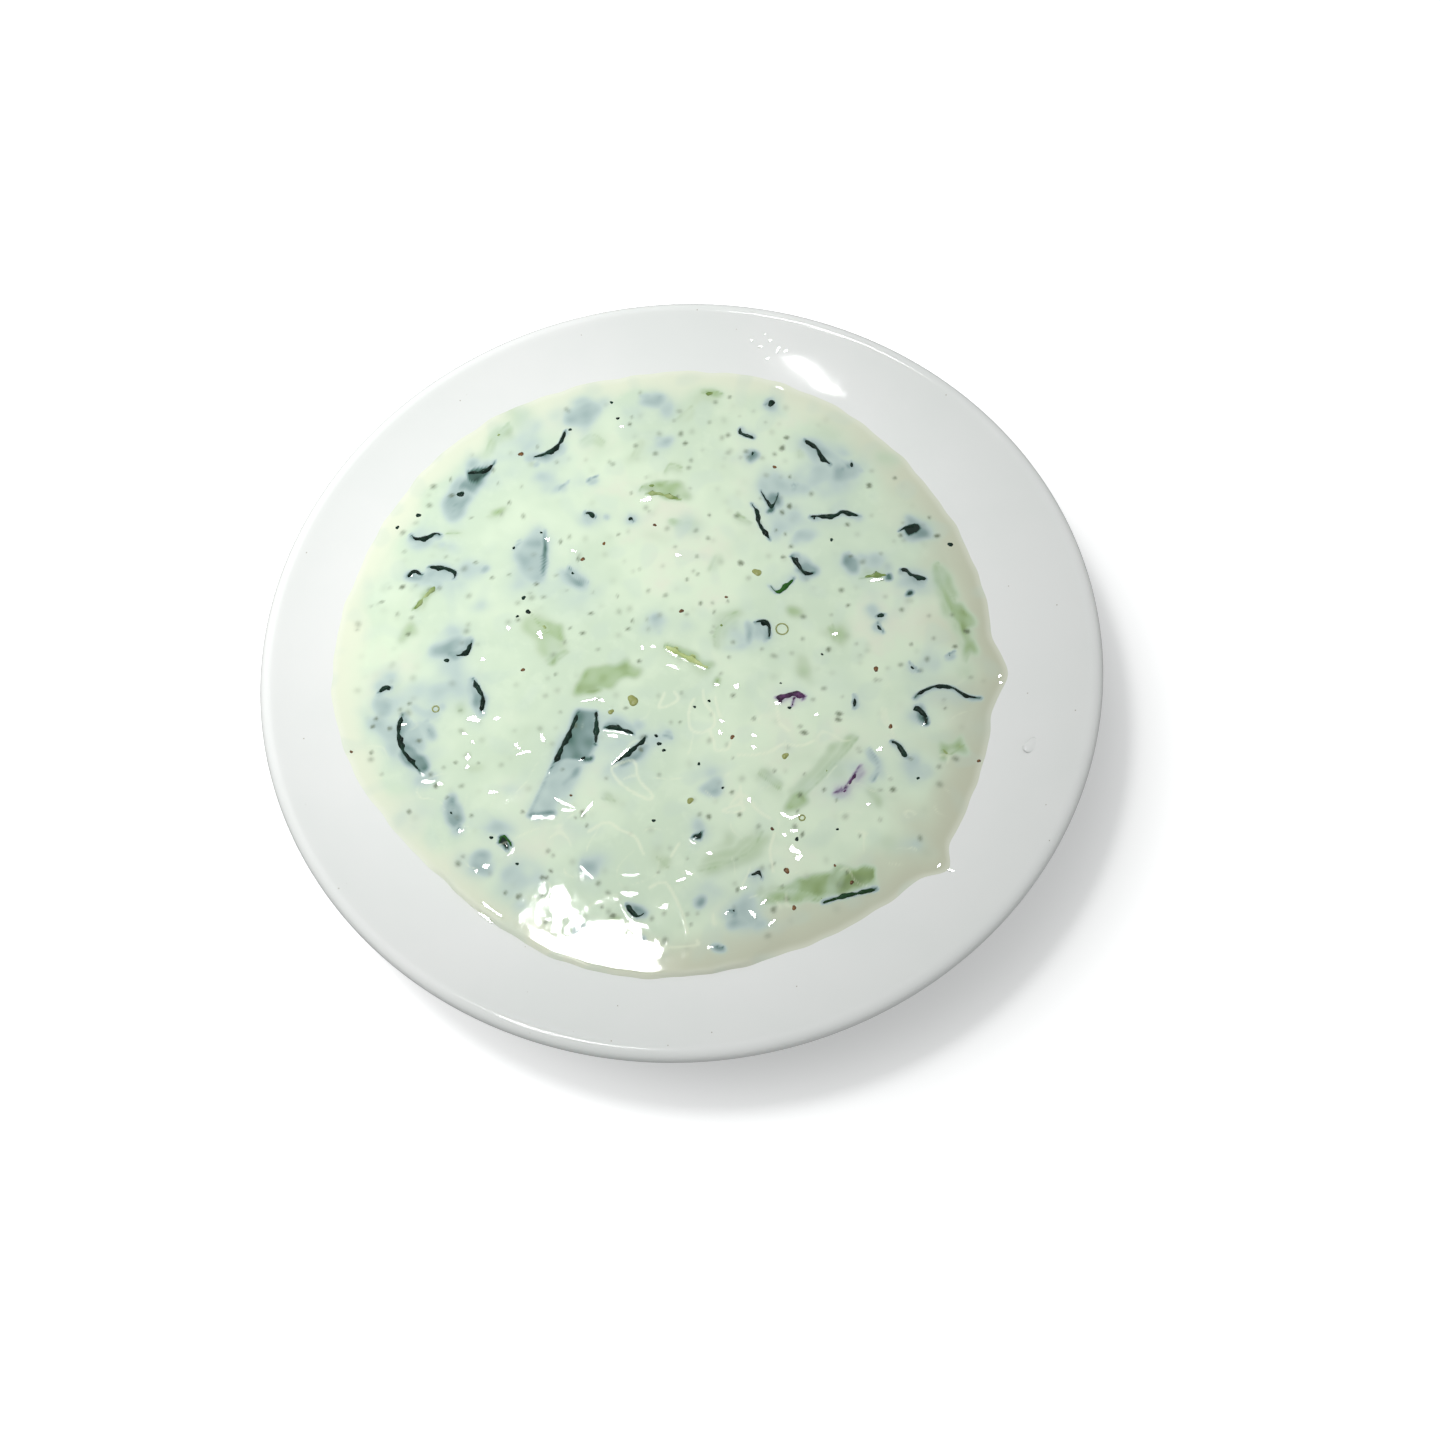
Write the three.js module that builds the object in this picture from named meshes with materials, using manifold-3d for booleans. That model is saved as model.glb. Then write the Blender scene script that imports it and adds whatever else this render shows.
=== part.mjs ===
// A wide-rimmed round dish filled with cucumber and yogurt dip.
// Millimetres, +Z up. The origin is the middle of the foot ring, on the table.
// The dish and the dip are turned about the Z axis; the strips of peel, slices of
// cucumber and shreds of onion lie in the dip with one long edge above its surface.

import * as THREE from 'three';
import { mergeVertices } from 'three/addons/utils/BufferGeometryUtils.js';
import Module from 'manifold-3d';

const wasm = await Module();
wasm.setup();

// Dish
const DISH_RADIUS = 90;
const DISH_HEIGHT = 21.5;
const LIP_RADIUS = 2;
const WALL = 4;
const FLOOR_RADIUS = 46;
const FLOOR_HEIGHT = 6.5;
const WELL_RADIUS = 65;
const RIM_SLOPE_INNER = 0.24;
const RIM_SLOPE_OUTER = 0.5;
const FOOT_RADIUS = 50;
const FOOT_WIDTH = 4;
const FOOT_BEVEL = 0.6;
const FOOT_FILLET = 1.6;
const FOOT_RECESS = FLOOR_HEIGHT - WALL;
const SEGMENTS = 52;
const PROFILE_STEPS = 3;
const LIP_TURNS = [90, 45, 0, -32];

// Dip
const POOL_OFFSET = new THREE.Vector2(0, 0.5);
const POOL_RADIUS = 71.9;
// The outline's unevenness: size in mm and direction in degrees of each wave round it
const OUTLINE_WAVES = [[3.1, 145], [1.1, -67], [0.8, 54], [0.35, -18], [0.5, -32], [0.6, 10]];
// Two places where dip has run out over the rim: reach in mm, direction and spread in degrees
const OUTLINE_TONGUES = [[2.8, -7, 4.5], [3.6, -45.5, 3]];
const DIP_LEVEL = 15.3;
const DIP_TILT = new THREE.Vector2(-0.014, 0.006);
const MARGIN_FILM = 0.7;
const DIP_RINGS = [12, 25, 37, 48, 58, 65];
const EDGE_INSET = 1.6;
// Shallow swells of the surface: height in mm, wavelength in mm, direction in degrees
const SWELLS = [[0.16, 47, 20], [0.13, 33, 105], [0.1, 22, 160]];

// Spaces
const GAP = 0.3;
const PIECE_FLOOR_GAP = 3 * GAP;
const ABOVE_DISH = 20;
const PROUD = 0.4;

const radians = THREE.MathUtils.degToRad;

// ---- Meshes and solids -------------------------------------------------------------

function toSolid(geometry) {
  const bare = geometry.clone();
  bare.deleteAttribute('normal');
  bare.deleteAttribute('uv');
  const merged = mergeVertices(bare, 1e-4);
  const mesh = new wasm.Mesh({
    numProp: 3,
    vertProperties: new Float32Array(merged.attributes.position.array),
    triVerts: new Uint32Array(merged.index.array),
  });
  mesh.merge();
  return new wasm.Manifold(mesh);
}

function toGeometry(solid) {
  const mesh = solid.getMesh();
  const geometry = new THREE.BufferGeometry();
  geometry.setAttribute('position', new THREE.BufferAttribute(mesh.vertProperties, 3));
  geometry.setIndex(new THREE.BufferAttribute(mesh.triVerts, 1));
  geometry.computeVertexNormals();
  return geometry;
}

function largestPart(solid) {
  return solid.decompose().sort((a, b) => b.volume() - a.volume())[0];
}

function lathe(profile) {
  return new THREE.LatheGeometry(profile, SEGMENTS).rotateX(Math.PI / 2);
}

// ---- Dish --------------------------------------------------------------------------

const lipCentre = new THREE.Vector2(DISH_RADIUS - LIP_RADIUS, DISH_HEIGHT - LIP_RADIUS);
const lipStart = Math.PI / 2 + Math.atan(RIM_SLOPE_OUTER);

function lipPoint(angle) {
  return new THREE.Vector2(Math.cos(angle), Math.sin(angle)).multiplyScalar(LIP_RADIUS).add(lipCentre);
}

const rimEnd = lipPoint(lipStart);
const rimWidth = rimEnd.x - WELL_RADIUS;
const wellHeight = rimEnd.y - rimWidth * (RIM_SLOPE_INNER + RIM_SLOPE_OUTER) / 2;

// Height of the dish's inner surface at a distance from the axis: a flat floor, a well
// wall that swings up from it, and a rim that grows steeper towards the lip
function innerHeight(r) {
  if (r <= FLOOR_RADIUS) return FLOOR_HEIGHT;
  if (r >= WELL_RADIUS) {
    const out = r - WELL_RADIUS;
    const growth = (RIM_SLOPE_OUTER - RIM_SLOPE_INNER) / (2 * rimWidth);
    return wellHeight + RIM_SLOPE_INNER * out + growth * out * out;
  }
  const width = WELL_RADIUS - FLOOR_RADIUS;
  const t = (r - FLOOR_RADIUS) / width;
  const rise = (wellHeight - FLOOR_HEIGHT) * t * t * (3 - 2 * t);
  return FLOOR_HEIGHT + rise + RIM_SLOPE_INNER * width * t * t * (t - 1);
}

// The point under the inner surface at a distance from the axis, one wall thickness away
function underside(r) {
  const step = 1;
  const slope = (innerHeight(r + step) - innerHeight(r - step)) / (2 * step);
  const away = new THREE.Vector2(slope, -1).setLength(WALL);
  return new THREE.Vector2(r, innerHeight(r)).add(away);
}

function stepsBetween(start, end) {
  return Array.from({ length: PROFILE_STEPS }, (_, i) => start + (end - start) * i / PROFILE_STEPS);
}

const wellRadii = stepsBetween(FLOOR_RADIUS, WELL_RADIUS);
const rimRadii = stepsBetween(WELL_RADIUS, rimEnd.x);
const INNER_RADII = [...wellRadii, ...rimRadii, rimEnd.x];

// Height of the faceted inner surface, which is straight between the profile's points
function facetHeight(r) {
  const outer = Math.max(1, INNER_RADII.findIndex((edge) => edge >= r));
  const [r0, r1] = [INNER_RADII[outer - 1], INNER_RADII[outer]];
  const t = Math.max(0, (r - r0) / (r1 - r0));
  return THREE.MathUtils.lerp(innerHeight(r0), innerHeight(r1), t);
}

function dishProfile() {
  const point = (r, z) => new THREE.Vector2(r, z);
  const inner = INNER_RADII.slice(0, -1).map((r) => point(r, innerHeight(r)));
  const lipTurns = [lipStart, ...LIP_TURNS.map(radians), lipStart - Math.PI];
  const lip = lipTurns.map(lipPoint);
  const under = [...rimRadii.toReversed(), wellRadii.at(-1)].map(underside);
  const footInner = FOOT_RADIUS - FOOT_WIDTH;
  const foot = [
    point(FOOT_RADIUS + FOOT_FILLET, FOOT_RECESS + FOOT_BEVEL),
    point(FOOT_RADIUS, FOOT_BEVEL),
    point(FOOT_RADIUS - FOOT_BEVEL, 0),
    point(footInner + FOOT_BEVEL, 0),
    point(footInner, FOOT_BEVEL),
    point(footInner - FOOT_BEVEL, FOOT_RECESS),
  ];
  return [point(0, FLOOR_HEIGHT), ...inner, ...lip, ...under, ...foot, point(0, FOOT_RECESS)].reverse();
}

// The room inside the dish, this far above its inner surface and open upwards
function spaceAboveDish(clearance) {
  const top = DISH_HEIGHT + ABOVE_DISH;
  const surface = INNER_RADII.map((r) => new THREE.Vector2(r, facetHeight(r) + clearance));
  const start = new THREE.Vector2(0, FLOOR_HEIGHT + clearance);
  const close = [new THREE.Vector2(rimEnd.x, top), new THREE.Vector2(0, top)];
  return toSolid(lathe([start, ...surface, ...close]));
}

// ---- Dip ---------------------------------------------------------------------------

function degreesApart(a, b) {
  return THREE.MathUtils.euclideanModulo(a - b + 180, 360) - 180;
}

function poolRadius(angle) {
  const degrees = THREE.MathUtils.radToDeg(angle);
  const waves = OUTLINE_WAVES.reduce(
    (sum, [size, towards], i) => sum + size * Math.cos((i + 1) * radians(degrees - towards)), 0);
  const tongues = OUTLINE_TONGUES.reduce((sum, [reach, towards, spread]) => {
    const away = degreesApart(degrees, towards) / spread;
    return sum + reach * Math.exp(-away * away);
  }, 0);
  return POOL_RADIUS + waves + tongues;
}

function swell(x, y) {
  return SWELLS.reduce((sum, [height, length, towards]) => {
    const along = x * Math.cos(radians(towards)) + y * Math.sin(radians(towards));
    return sum + height * Math.sin(2 * Math.PI * along / length);
  }, 0);
}

// Height of the dip's surface: nearly level, and a film that follows the rim at its margin
function dipHeight(x, y) {
  const level = DIP_LEVEL + DIP_TILT.x * x + DIP_TILT.y * y + swell(x, y);
  return Math.max(level, facetHeight(Math.hypot(x, y)) + GAP + MARGIN_FILM);
}

function dipGeometry() {
  const positions = [];
  const indices = [];
  const ring = (radiusAt, heightAt) => {
    const first = positions.length / 3;
    for (let i = 0; i < SEGMENTS; i += 1) {
      const angle = 2 * Math.PI * i / SEGMENTS;
      const r = radiusAt(angle);
      const [x, y] = [r * Math.cos(angle), r * Math.sin(angle)];
      positions.push(x, y, heightAt(x, y));
    }
    return first;
  };
  const bridge = (a, b) => {
    for (let i = 0; i < SEGMENTS; i += 1) {
      const j = (i + 1) % SEGMENTS;
      indices.push(a + i, b + i, b + j, a + i, b + j, a + j);
    }
  };
  const cap = (a, height, up) => {
    const centre = positions.length / 3;
    positions.push(0, 0, height);
    for (let i = 0; i < SEGMENTS; i += 1) {
      const j = (i + 1) % SEGMENTS;
      indices.push(centre, a + (up ? i : j), a + (up ? j : i));
    }
  };
  const under = (x, y) => facetHeight(Math.hypot(x, y)) + GAP;
  const overEdge = (x, y) => under(x, y) + MARGIN_FILM / 2;
  const edge = (angle) => poolRadius(angle) + POOL_OFFSET.y * Math.sin(angle);
  const rings = [
    ...DIP_RINGS.map((r) => ring(() => r, dipHeight)),
    ring((angle) => edge(angle) - EDGE_INSET, dipHeight),
    ring(edge, overEdge),
    ring(edge, under),
    ...[...wellRadii, WELL_RADIUS].reverse().map((r) => ring(() => r, under)),
  ];
  cap(rings[0], dipHeight(0, 0), true);
  rings.slice(1).forEach((next, i) => bridge(rings[i], next));
  cap(rings.at(-1), FLOOR_HEIGHT + GAP, false);
  const geometry = new THREE.BufferGeometry();
  geometry.setAttribute('position', new THREE.Float32BufferAttribute(positions, 3));
  geometry.setIndex(indices);
  return geometry;
}

// ---- Pieces in the dip -------------------------------------------------------------

// A strip whose upper edge follows a path over the dip. Its width goes down from that
// edge, all along in one direction: towards a bearing in degrees from +X, leaning this
// far from upright. grow makes it larger all round, for the pocket that it lies in.
function strip({ path, towards, lean, width, thick, taper, steps = 5 }, grow = 0) {
  const points = path.map(([x, y]) => new THREE.Vector3(x + POOL_OFFSET.x, y + POOL_OFFSET.y, 0));
  const curve = new THREE.CatmullRomCurve3(points, false, 'centripetal');
  const bearing = new THREE.Vector3(Math.cos(radians(towards)), Math.sin(radians(towards)), 0);
  const down = bearing.multiplyScalar(Math.sin(radians(lean))).setZ(-Math.cos(radians(lean)));
  const positions = [];
  for (let i = 0; i <= steps; i += 1) {
    const t = i / steps;
    const along = curve.getTangentAt(t);
    const across = new THREE.Vector3().crossVectors(along, down).normalize();
    const endward = i === 0 ? -grow : (i === steps ? grow : 0);
    const fullness = 1 - (1 - taper) * Math.abs(2 * t - 1) ** 3;
    const top = curve.getPointAt(t).addScaledVector(along, endward);
    const bareHalf = thick / 2 * Math.sqrt(fullness);
    const half = bareHalf + grow;
    top.z = dipHeight(top.x, top.y) + PROUD - bareHalf * Math.abs(across.z);
    const depth = width * fullness + grow;
    for (const [below, out] of [[-grow, half], [depth, half], [depth, -half], [-grow, -half]]) {
      const corner = top.clone().addScaledVector(down, below).addScaledVector(across, out);
      positions.push(corner.x, corner.y, corner.z);
    }
  }
  const indices = [0, 1, 2, 0, 2, 3];
  for (let i = 0; i < steps; i += 1) {
    for (let k = 0; k < 4; k += 1) {
      const [a, b] = [4 * i + k, 4 * i + (k + 1) % 4];
      indices.push(a, a + 4, b + 4, a, b + 4, b);
    }
  }
  const last = 4 * steps;
  indices.push(last, last + 2, last + 1, last, last + 3, last + 2);
  const geometry = new THREE.BufferGeometry();
  geometry.setAttribute('position', new THREE.Float32BufferAttribute(positions, 3));
  geometry.setIndex(indices);
  return geometry;
}

const PEEL = { width: 3, thick: 0.8, taper: 0.6 };
const CUCUMBER = { width: 4.5, thick: 1.8, taper: 0.5 };
const ONION = { width: 2.4, thick: 1, taper: 0.5 };

// Strips of dark green skin and leaf. Each path's points are x and y from the pool's middle.
const peelStrips = {
  peel_long_fold: {
    path: [[-22.6, -10.2], [-24.6, -14.8], [-27.6, -20.6], [-34, -33.5]],
    towards: -26, lean: 80, width: 4.4, steps: 7,
  },
  peel_fold_edge: {
    path: [[-18.7, -10.6], [-18.8, -14.5], [-19.2, -18.8]],
    towards: 180, lean: 10, width: 2.2,
  },
  peel_seven_bar: { path: [[-17.4, -14.8], [-14.6, -15.3], [-10.9, -16.9]], towards: 70, lean: 60 },
  peel_seven_leg: {
    path: [[-8.5, -17.3], [-10, -19], [-16, -23.4]],
    towards: -50, lean: 40, width: 2.6, thick: 1.1,
  },
  peel_cup: {
    path: [[-60.2, -8], [-61.2, -11.5], [-60.4, -16.4], [-56.6, -22]],
    towards: 0, lean: 68, width: 6, steps: 7,
  },
  peel_cup_tip: { path: [[-65.4, -2.4], [-64, -1.2], [-62.4, -1.4]], towards: -80, lean: 50, steps: 4 },
  peel_hook_west: {
    path: [[-57.8, 36.1], [-56.8, 34.8], [-54.5, 34.8], [-52.3, 35.7], [-50.9, 35.2]],
    towards: -90, lean: 50, width: 2.4, thick: 0.7, steps: 9,
  },
  peel_bow_west: { path: [[-54, 27.4], [-50.6, 26.8], [-48, 25.4], [-48.2, 23.8]], towards: -120, lean: 55 },
  peel_knob_west: { path: [[-58.8, 25.4], [-57, 26.6], [-55.2, 25.3]], towards: -100, lean: 50 },
  peel_wing_northwest: {
    path: [[-38.5, 53], [-40.6, 50.8], [-45, 50.6]],
    towards: 100, lean: 55, width: 3.2,
  },
  peel_wave_north: { path: [[-30, 53.8], [-27, 54.6], [-24.2, 56.5], [-22.3, 60.2]], towards: -50, lean: 50 },
  peel_blade_east: {
    path: [[18.2, 37.6], [19.3, 35.4], [19.7, 32], [21.8, 27.8]],
    towards: 30, lean: 15, width: 2.4,
  },
  peel_vee: {
    path: [[20.6, 40.6], [22.3, 36.6], [23.2, 36.4], [24.7, 39.6]],
    towards: 80, lean: 35, width: 2.6, steps: 7,
  },
  peel_ripple_east: {
    path: [[31, 33.2], [36.5, 33], [38.5, 33.8], [42.4, 32.2]],
    towards: -90, lean: 40, width: 2.2,
  },
  peel_slash_northeast: {
    path: [[31.6, 53], [34, 50.8], [35.4, 47.8], [37.1, 45.7]],
    towards: -130, lean: 50,
  },
  peel_hook_north: { path: [[17.2, 57.3], [17.2, 55.9], [20.2, 54.2]], towards: 50, lean: 50, width: 2.6 },
  peel_bean_east: {
    path: [[50.2, 27.3], [52, 28.1], [54, 28.1]],
    towards: 50, lean: 40, width: 2.5, thick: 1.1,
  },
  peel_zigzag_east: { path: [[49.6, 18], [51, 17.7], [51.9, 16.5], [55.2, 15.2]], towards: -100, lean: 60 },
  peel_curl_east: {
    path: [[25.8, 23.4], [27, 21.2], [28.6, 18.6], [30.6, 18.4]],
    towards: 50, lean: 65, width: 3.5,
  },
  peel_green_wedge: {
    path: [[20.8, 16.2], [22.3, 14.3], [24.3, 15.6], [26.4, 17.6]],
    towards: 110, lean: 35, width: 2.4, thick: 1.2,
  },
  peel_wire_east: {
    path: [[49.2, -13.2], [50.6, -12], [54, -10.9], [57.4, -11.5], [60.2, -13.5], [63.6, -14.3]],
    towards: -90, lean: 25, width: 1.8, steps: 10, taper: 0.4,
  },
  peel_drop_east: {
    path: [[49.2, -15], [50.6, -16.4], [51.7, -18.4]],
    towards: -150, lean: 50, width: 2.8, thick: 1.1, steps: 4,
  },
  peel_tick_southeast: {
    path: [[43.3, -22.6], [44.9, -23.8], [46.4, -26.8]],
    towards: -140, lean: 35, width: 2.2,
  },
  peel_curl_west: {
    path: [[-44.8, -0.8], [-43.7, -3], [-42.6, -6], [-43.1, -9.2]],
    towards: 180, lean: 60, width: 3.5,
  },
  peel_nib_west: {
    path: [[-44.6, 8.2], [-45.3, 6.3], [-46.2, 4.9], [-48.6, 4.8]],
    towards: 130, lean: 60, width: 3.4,
  },
  peel_check_south: {
    path: [[-14.9, -55.2], [-13.8, -57], [-12.6, -58], [-11.1, -57.4]],
    towards: 50, lean: 50, width: 2.4,
  },
  peel_crown: {
    path: [[16.8, 7.7], [18.8, 7.8], [19.9, 6.4], [19.7, 3.6]],
    towards: -140, lean: 70, width: 3.6,
  },
};

// Slices and sticks of cucumber
const cucumberPieces = {
  cucumber_skin_slice: {
    path: [[13.5, -56.4], [19, -56.8], [25.3, -57.3], [30, -56.1], [37, -55.1]],
    towards: 95, lean: 74, width: 5.5, steps: 7,
  },
  cucumber_crescent: {
    path: [[-21.8, -5.8], [-18, -5.5], [-14.2, -3.8], [-11, 0.6]],
    towards: 115, lean: 65, width: 5, steps: 7,
  },
  cucumber_wedge: { path: [[-23.8, 3.8], [-26.3, 2], [-28.8, 0.9]], towards: 125, lean: 75, width: 7 },
  cucumber_glossy: { path: [[-5.2, 41.6], [-2, 41.3], [0, 40.4], [2.8, 39.4]], towards: 85, lean: 68 },
  cucumber_stick: {
    path: [[-3.5, 3.4], [1, 0.4], [6, -2.8]],
    towards: 57, lean: 78, width: 2.4, thick: 1.6, taper: 0.8,
  },
  cucumber_arc: {
    path: [[7.5, 2.4], [8, 6], [10.4, 9.3], [13.4, 10.6]],
    towards: -40, lean: 72, width: 4,
  },
  cucumber_bowed: {
    path: [[0.4, -49.2], [6, -48], [11.5, -45.4], [14.6, -41]],
    towards: 115, lean: 70, steps: 7,
  },
  cucumber_long_slice: {
    path: [[20.2, -37], [23.4, -34.2], [28, -30.2], [33, -25.2], [36.4, -21.4]],
    towards: 135, lean: 74, width: 4, steps: 7,
  },
  cucumber_shore: {
    path: [[58, 19], [59.8, 12], [62.4, 4], [62.8, -1.5], [61.2, -6]],
    towards: 185, lean: 78, width: 2.8, thick: 1.1, steps: 7,
  },
  cucumber_tip_east: {
    path: [[40.5, 16.4], [44, 16.6], [47.2, 16.4]],
    towards: 95, lean: 68, width: 4, thick: 1.4,
  },
  cucumber_rind_northwest: {
    path: [[-40.6, 56.2], [-39, 59.4], [-35, 63.4]],
    towards: -30, lean: 78, width: 4, thick: 1.2,
  },
  cucumber_shred_west: {
    path: [[-57.8, 17], [-55, 20.2], [-52.2, 23]],
    towards: -45, lean: 60, width: 2.2, thick: 1.4,
  },
};

// Shreds of red onion
const onionShreds = {
  onion_comb: { path: [[19.6, -10.7], [21.6, -10.4], [24.2, -9.9], [26.3, -10.9]], towards: -90, lean: 45 },
  onion_swirl: {
    path: [[36.4, -27.6], [33.7, -30.9], [32.2, -33.3], [29.8, -33.8]],
    towards: -45, lean: 65, width: 3.2,
  },
};

// ---- Assembly ----------------------------------------------------------------------

const filledDish = new THREE.Group();

function addNode(name, geometry, color, roughness) {
  const material = new THREE.MeshStandardMaterial({ color, roughness, metalness: 0 });
  const mesh = new THREE.Mesh(geometry, material);
  mesh.name = name;
  filledDish.add(mesh);
}

const pieceSpace = spaceAboveDish(PIECE_FLOOR_GAP);
const pocketSpace = spaceAboveDish(PIECE_FLOOR_GAP - GAP);
let dipSolid = toSolid(dipGeometry());

function addPieces(pieces, common, color, roughness) {
  for (const [name, shape] of Object.entries(pieces)) {
    const full = { ...common, ...shape };
    const piece = toSolid(strip(full)).intersect(pieceSpace);
    const pocket = toSolid(strip(full, GAP)).intersect(pocketSpace);
    dipSolid = dipSolid.subtract(pocket);
    addNode(name, toGeometry(piece), color, roughness);
  }
}

addNode('dish', lathe(dishProfile()), new THREE.Color(0.9, 0.91, 0.89), 0.1);
addPieces(peelStrips, PEEL, new THREE.Color(0.05, 0.12, 0.08), 0.35);
addPieces(cucumberPieces, CUCUMBER, new THREE.Color(0.55, 0.64, 0.34), 0.3);
addPieces(onionShreds, ONION, new THREE.Color(0.2, 0.08, 0.22), 0.35);
addNode('dip', toGeometry(largestPart(dipSolid)), new THREE.Color(0.87, 0.92, 0.82), 0.2);

export default filledDish;
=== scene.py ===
# A cucumber and yogurt dip in its white dish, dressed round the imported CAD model.
# The dish is turned and glazed. The dip is one closed mesh with a fine upper surface:
# strips of peel, slices of cucumber and shreds of onion lie in it with one edge above the
# surface, and what lies under the surface shows through it, paler and softer with depth.

import math

import bpy
import numpy as np
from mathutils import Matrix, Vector


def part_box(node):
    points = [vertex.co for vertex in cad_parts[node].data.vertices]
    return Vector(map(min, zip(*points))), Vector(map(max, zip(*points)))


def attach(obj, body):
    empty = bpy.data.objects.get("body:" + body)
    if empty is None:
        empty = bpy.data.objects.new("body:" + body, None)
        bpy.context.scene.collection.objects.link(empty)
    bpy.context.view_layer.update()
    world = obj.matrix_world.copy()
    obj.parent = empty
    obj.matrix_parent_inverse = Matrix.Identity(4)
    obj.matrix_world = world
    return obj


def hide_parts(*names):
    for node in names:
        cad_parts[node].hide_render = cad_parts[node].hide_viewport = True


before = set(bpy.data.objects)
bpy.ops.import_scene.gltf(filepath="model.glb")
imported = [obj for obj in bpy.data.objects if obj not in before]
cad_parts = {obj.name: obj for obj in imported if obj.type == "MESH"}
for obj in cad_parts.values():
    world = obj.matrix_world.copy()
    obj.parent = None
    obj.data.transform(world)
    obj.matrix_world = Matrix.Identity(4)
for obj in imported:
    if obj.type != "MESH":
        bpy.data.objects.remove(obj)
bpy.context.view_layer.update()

rng = np.random.default_rng(7)

# ---- Sizes, in millimetres of a dish 180 mm across --------------------------------------

dish_low, dish_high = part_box("dish")
DISH_RADIUS = 90.0
MM = (dish_high.x - dish_low.x) / (2 * DISH_RADIUS)
DISH_HEIGHT = dish_high.z / MM
LIP_RADIUS = 2.0
WALL = 4.0
FLOOR_RADIUS = 46.0
FLOOR_HEIGHT = 6.5
WELL_RADIUS = 65.0
RIM_SLOPE_INNER = 0.24
RIM_SLOPE_OUTER = 0.5
FOOT_RADIUS = 50.0
FOOT_WIDTH = 4.0
FOOT_ROUND = 0.6
FOOT_FILLET = 1.6
FOOT_RECESS = FLOOR_HEIGHT - WALL

# The dip's outline is a circle with slow waves, of a size and a bearing each, with tongues,
# of a reach, a bearing and a spread each, and with fine ripples, of a count and a size each.
POOL_Y = 0.5
POOL_RADIUS = 71.9
OUTLINE_WAVES = [(3.1, 145), (1.1, -67), (0.8, 54), (0.35, -18), (0.5, -32), (0.6, 10)]
OUTLINE_TONGUES = [(2.8, -7, 4.5), (3.6, -45.5, 3)]
OUTLINE_RIPPLES = [(23, 0.12), (41, 0.1), (67, 0.07)]

# Its surface is tilted a little and has long swells, of a height, a length and a bearing each.
DIP_LEVEL = 15.3
DIP_TILT = (-0.014, 0.006)
SWELLS = [(0.16, 47, 20), (0.13, 33, 105), (0.1, 22, 160)]
MARGIN_FILM = 0.16
EDGE_TAPER = 1.4
GAP = 0.02
PROUD = 0.35

# ---- Shape of the dish and of the dip ---------------------------------------------------

lip_centre = (DISH_RADIUS - LIP_RADIUS, DISH_HEIGHT - LIP_RADIUS)
lip_start = math.pi / 2 + math.atan(RIM_SLOPE_OUTER)
rim_end = lip_centre[0] + LIP_RADIUS * math.cos(lip_start)
rim_top = lip_centre[1] + LIP_RADIUS * math.sin(lip_start)
rim_width = rim_end - WELL_RADIUS
well_height = rim_top - rim_width * (RIM_SLOPE_INNER + RIM_SLOPE_OUTER) / 2
rim_growth = (RIM_SLOPE_OUTER - RIM_SLOPE_INNER) / (2 * rim_width)


def smooth_step(low, high, value):
    """A smooth rise from nought at the low value to one at the high value."""
    t = np.clip((value - low) / (high - low), 0, 1)
    return t * t * (3 - 2 * t)


def inner_height(r):
    """Height of the dish's inner surface: a flat floor, a well wall and a rim."""
    width = WELL_RADIUS - FLOOR_RADIUS
    t = np.clip((r - FLOOR_RADIUS) / width, 0, 1)
    rise = (well_height - FLOOR_HEIGHT) * t * t * (3 - 2 * t)
    well = FLOOR_HEIGHT + rise + RIM_SLOPE_INNER * width * t * t * (t - 1)
    out = r - WELL_RADIUS
    rim = well_height + RIM_SLOPE_INNER * out + rim_growth * out * out
    return np.where(out > 0, rim, well)


def inner_slope(r):
    return inner_height(r + 0.5) - inner_height(r - 0.5)


def pool_radius(angle):
    """Distance of the dip's edge from the axis in a direction."""
    degrees = np.degrees(angle)
    radius = POOL_RADIUS + POOL_Y * np.sin(angle)
    for i, (size, towards) in enumerate(OUTLINE_WAVES):
        radius = radius + size * np.cos((i + 1) * np.radians(degrees - towards))
    for reach, towards, spread in OUTLINE_TONGUES:
        away = (np.mod(degrees - towards + 180, 360) - 180) / spread
        radius = radius + reach * np.exp(-away * away)
    for waves, size in OUTLINE_RIPPLES:
        radius = radius + size * np.sin(waves * angle + waves)
    return radius


def dip_level(x, y):
    """Height of the dip's surface away from its margin, without its fine relief."""
    height = DIP_LEVEL + DIP_TILT[0] * x + DIP_TILT[1] * y
    for size, length, towards in SWELLS:
        along = x * math.cos(math.radians(towards)) + y * math.sin(math.radians(towards))
        height = height + size * np.sin(2 * math.pi * along / length)
    return height


# ---- Maps over the dip: square grids of numbers, seen from above -------------------------

CELL = 0.25
HALF_MAP = 80.0
MAP_SIZE = int(2 * HALF_MAP / CELL)
axis_points = (np.arange(MAP_SIZE) + 0.5) * CELL - HALF_MAP
map_x, map_y = np.meshgrid(axis_points, axis_points)
map_r = np.hypot(map_x, map_y)
map_edge = pool_radius(np.arctan2(map_y, map_x)) - map_r
waves_along, waves_across = np.meshgrid(np.fft.rfftfreq(MAP_SIZE, CELL), np.fft.fftfreq(MAP_SIZE, CELL))
frequency = np.hypot(waves_along, waves_across)


def blurred(values, radius):
    """The map after a Gaussian blur of this radius in millimetres."""
    keep = np.exp(-2 * (math.pi * radius * frequency) ** 2)
    return np.fft.irfft2(np.fft.rfft2(values) * keep, values.shape)


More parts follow.
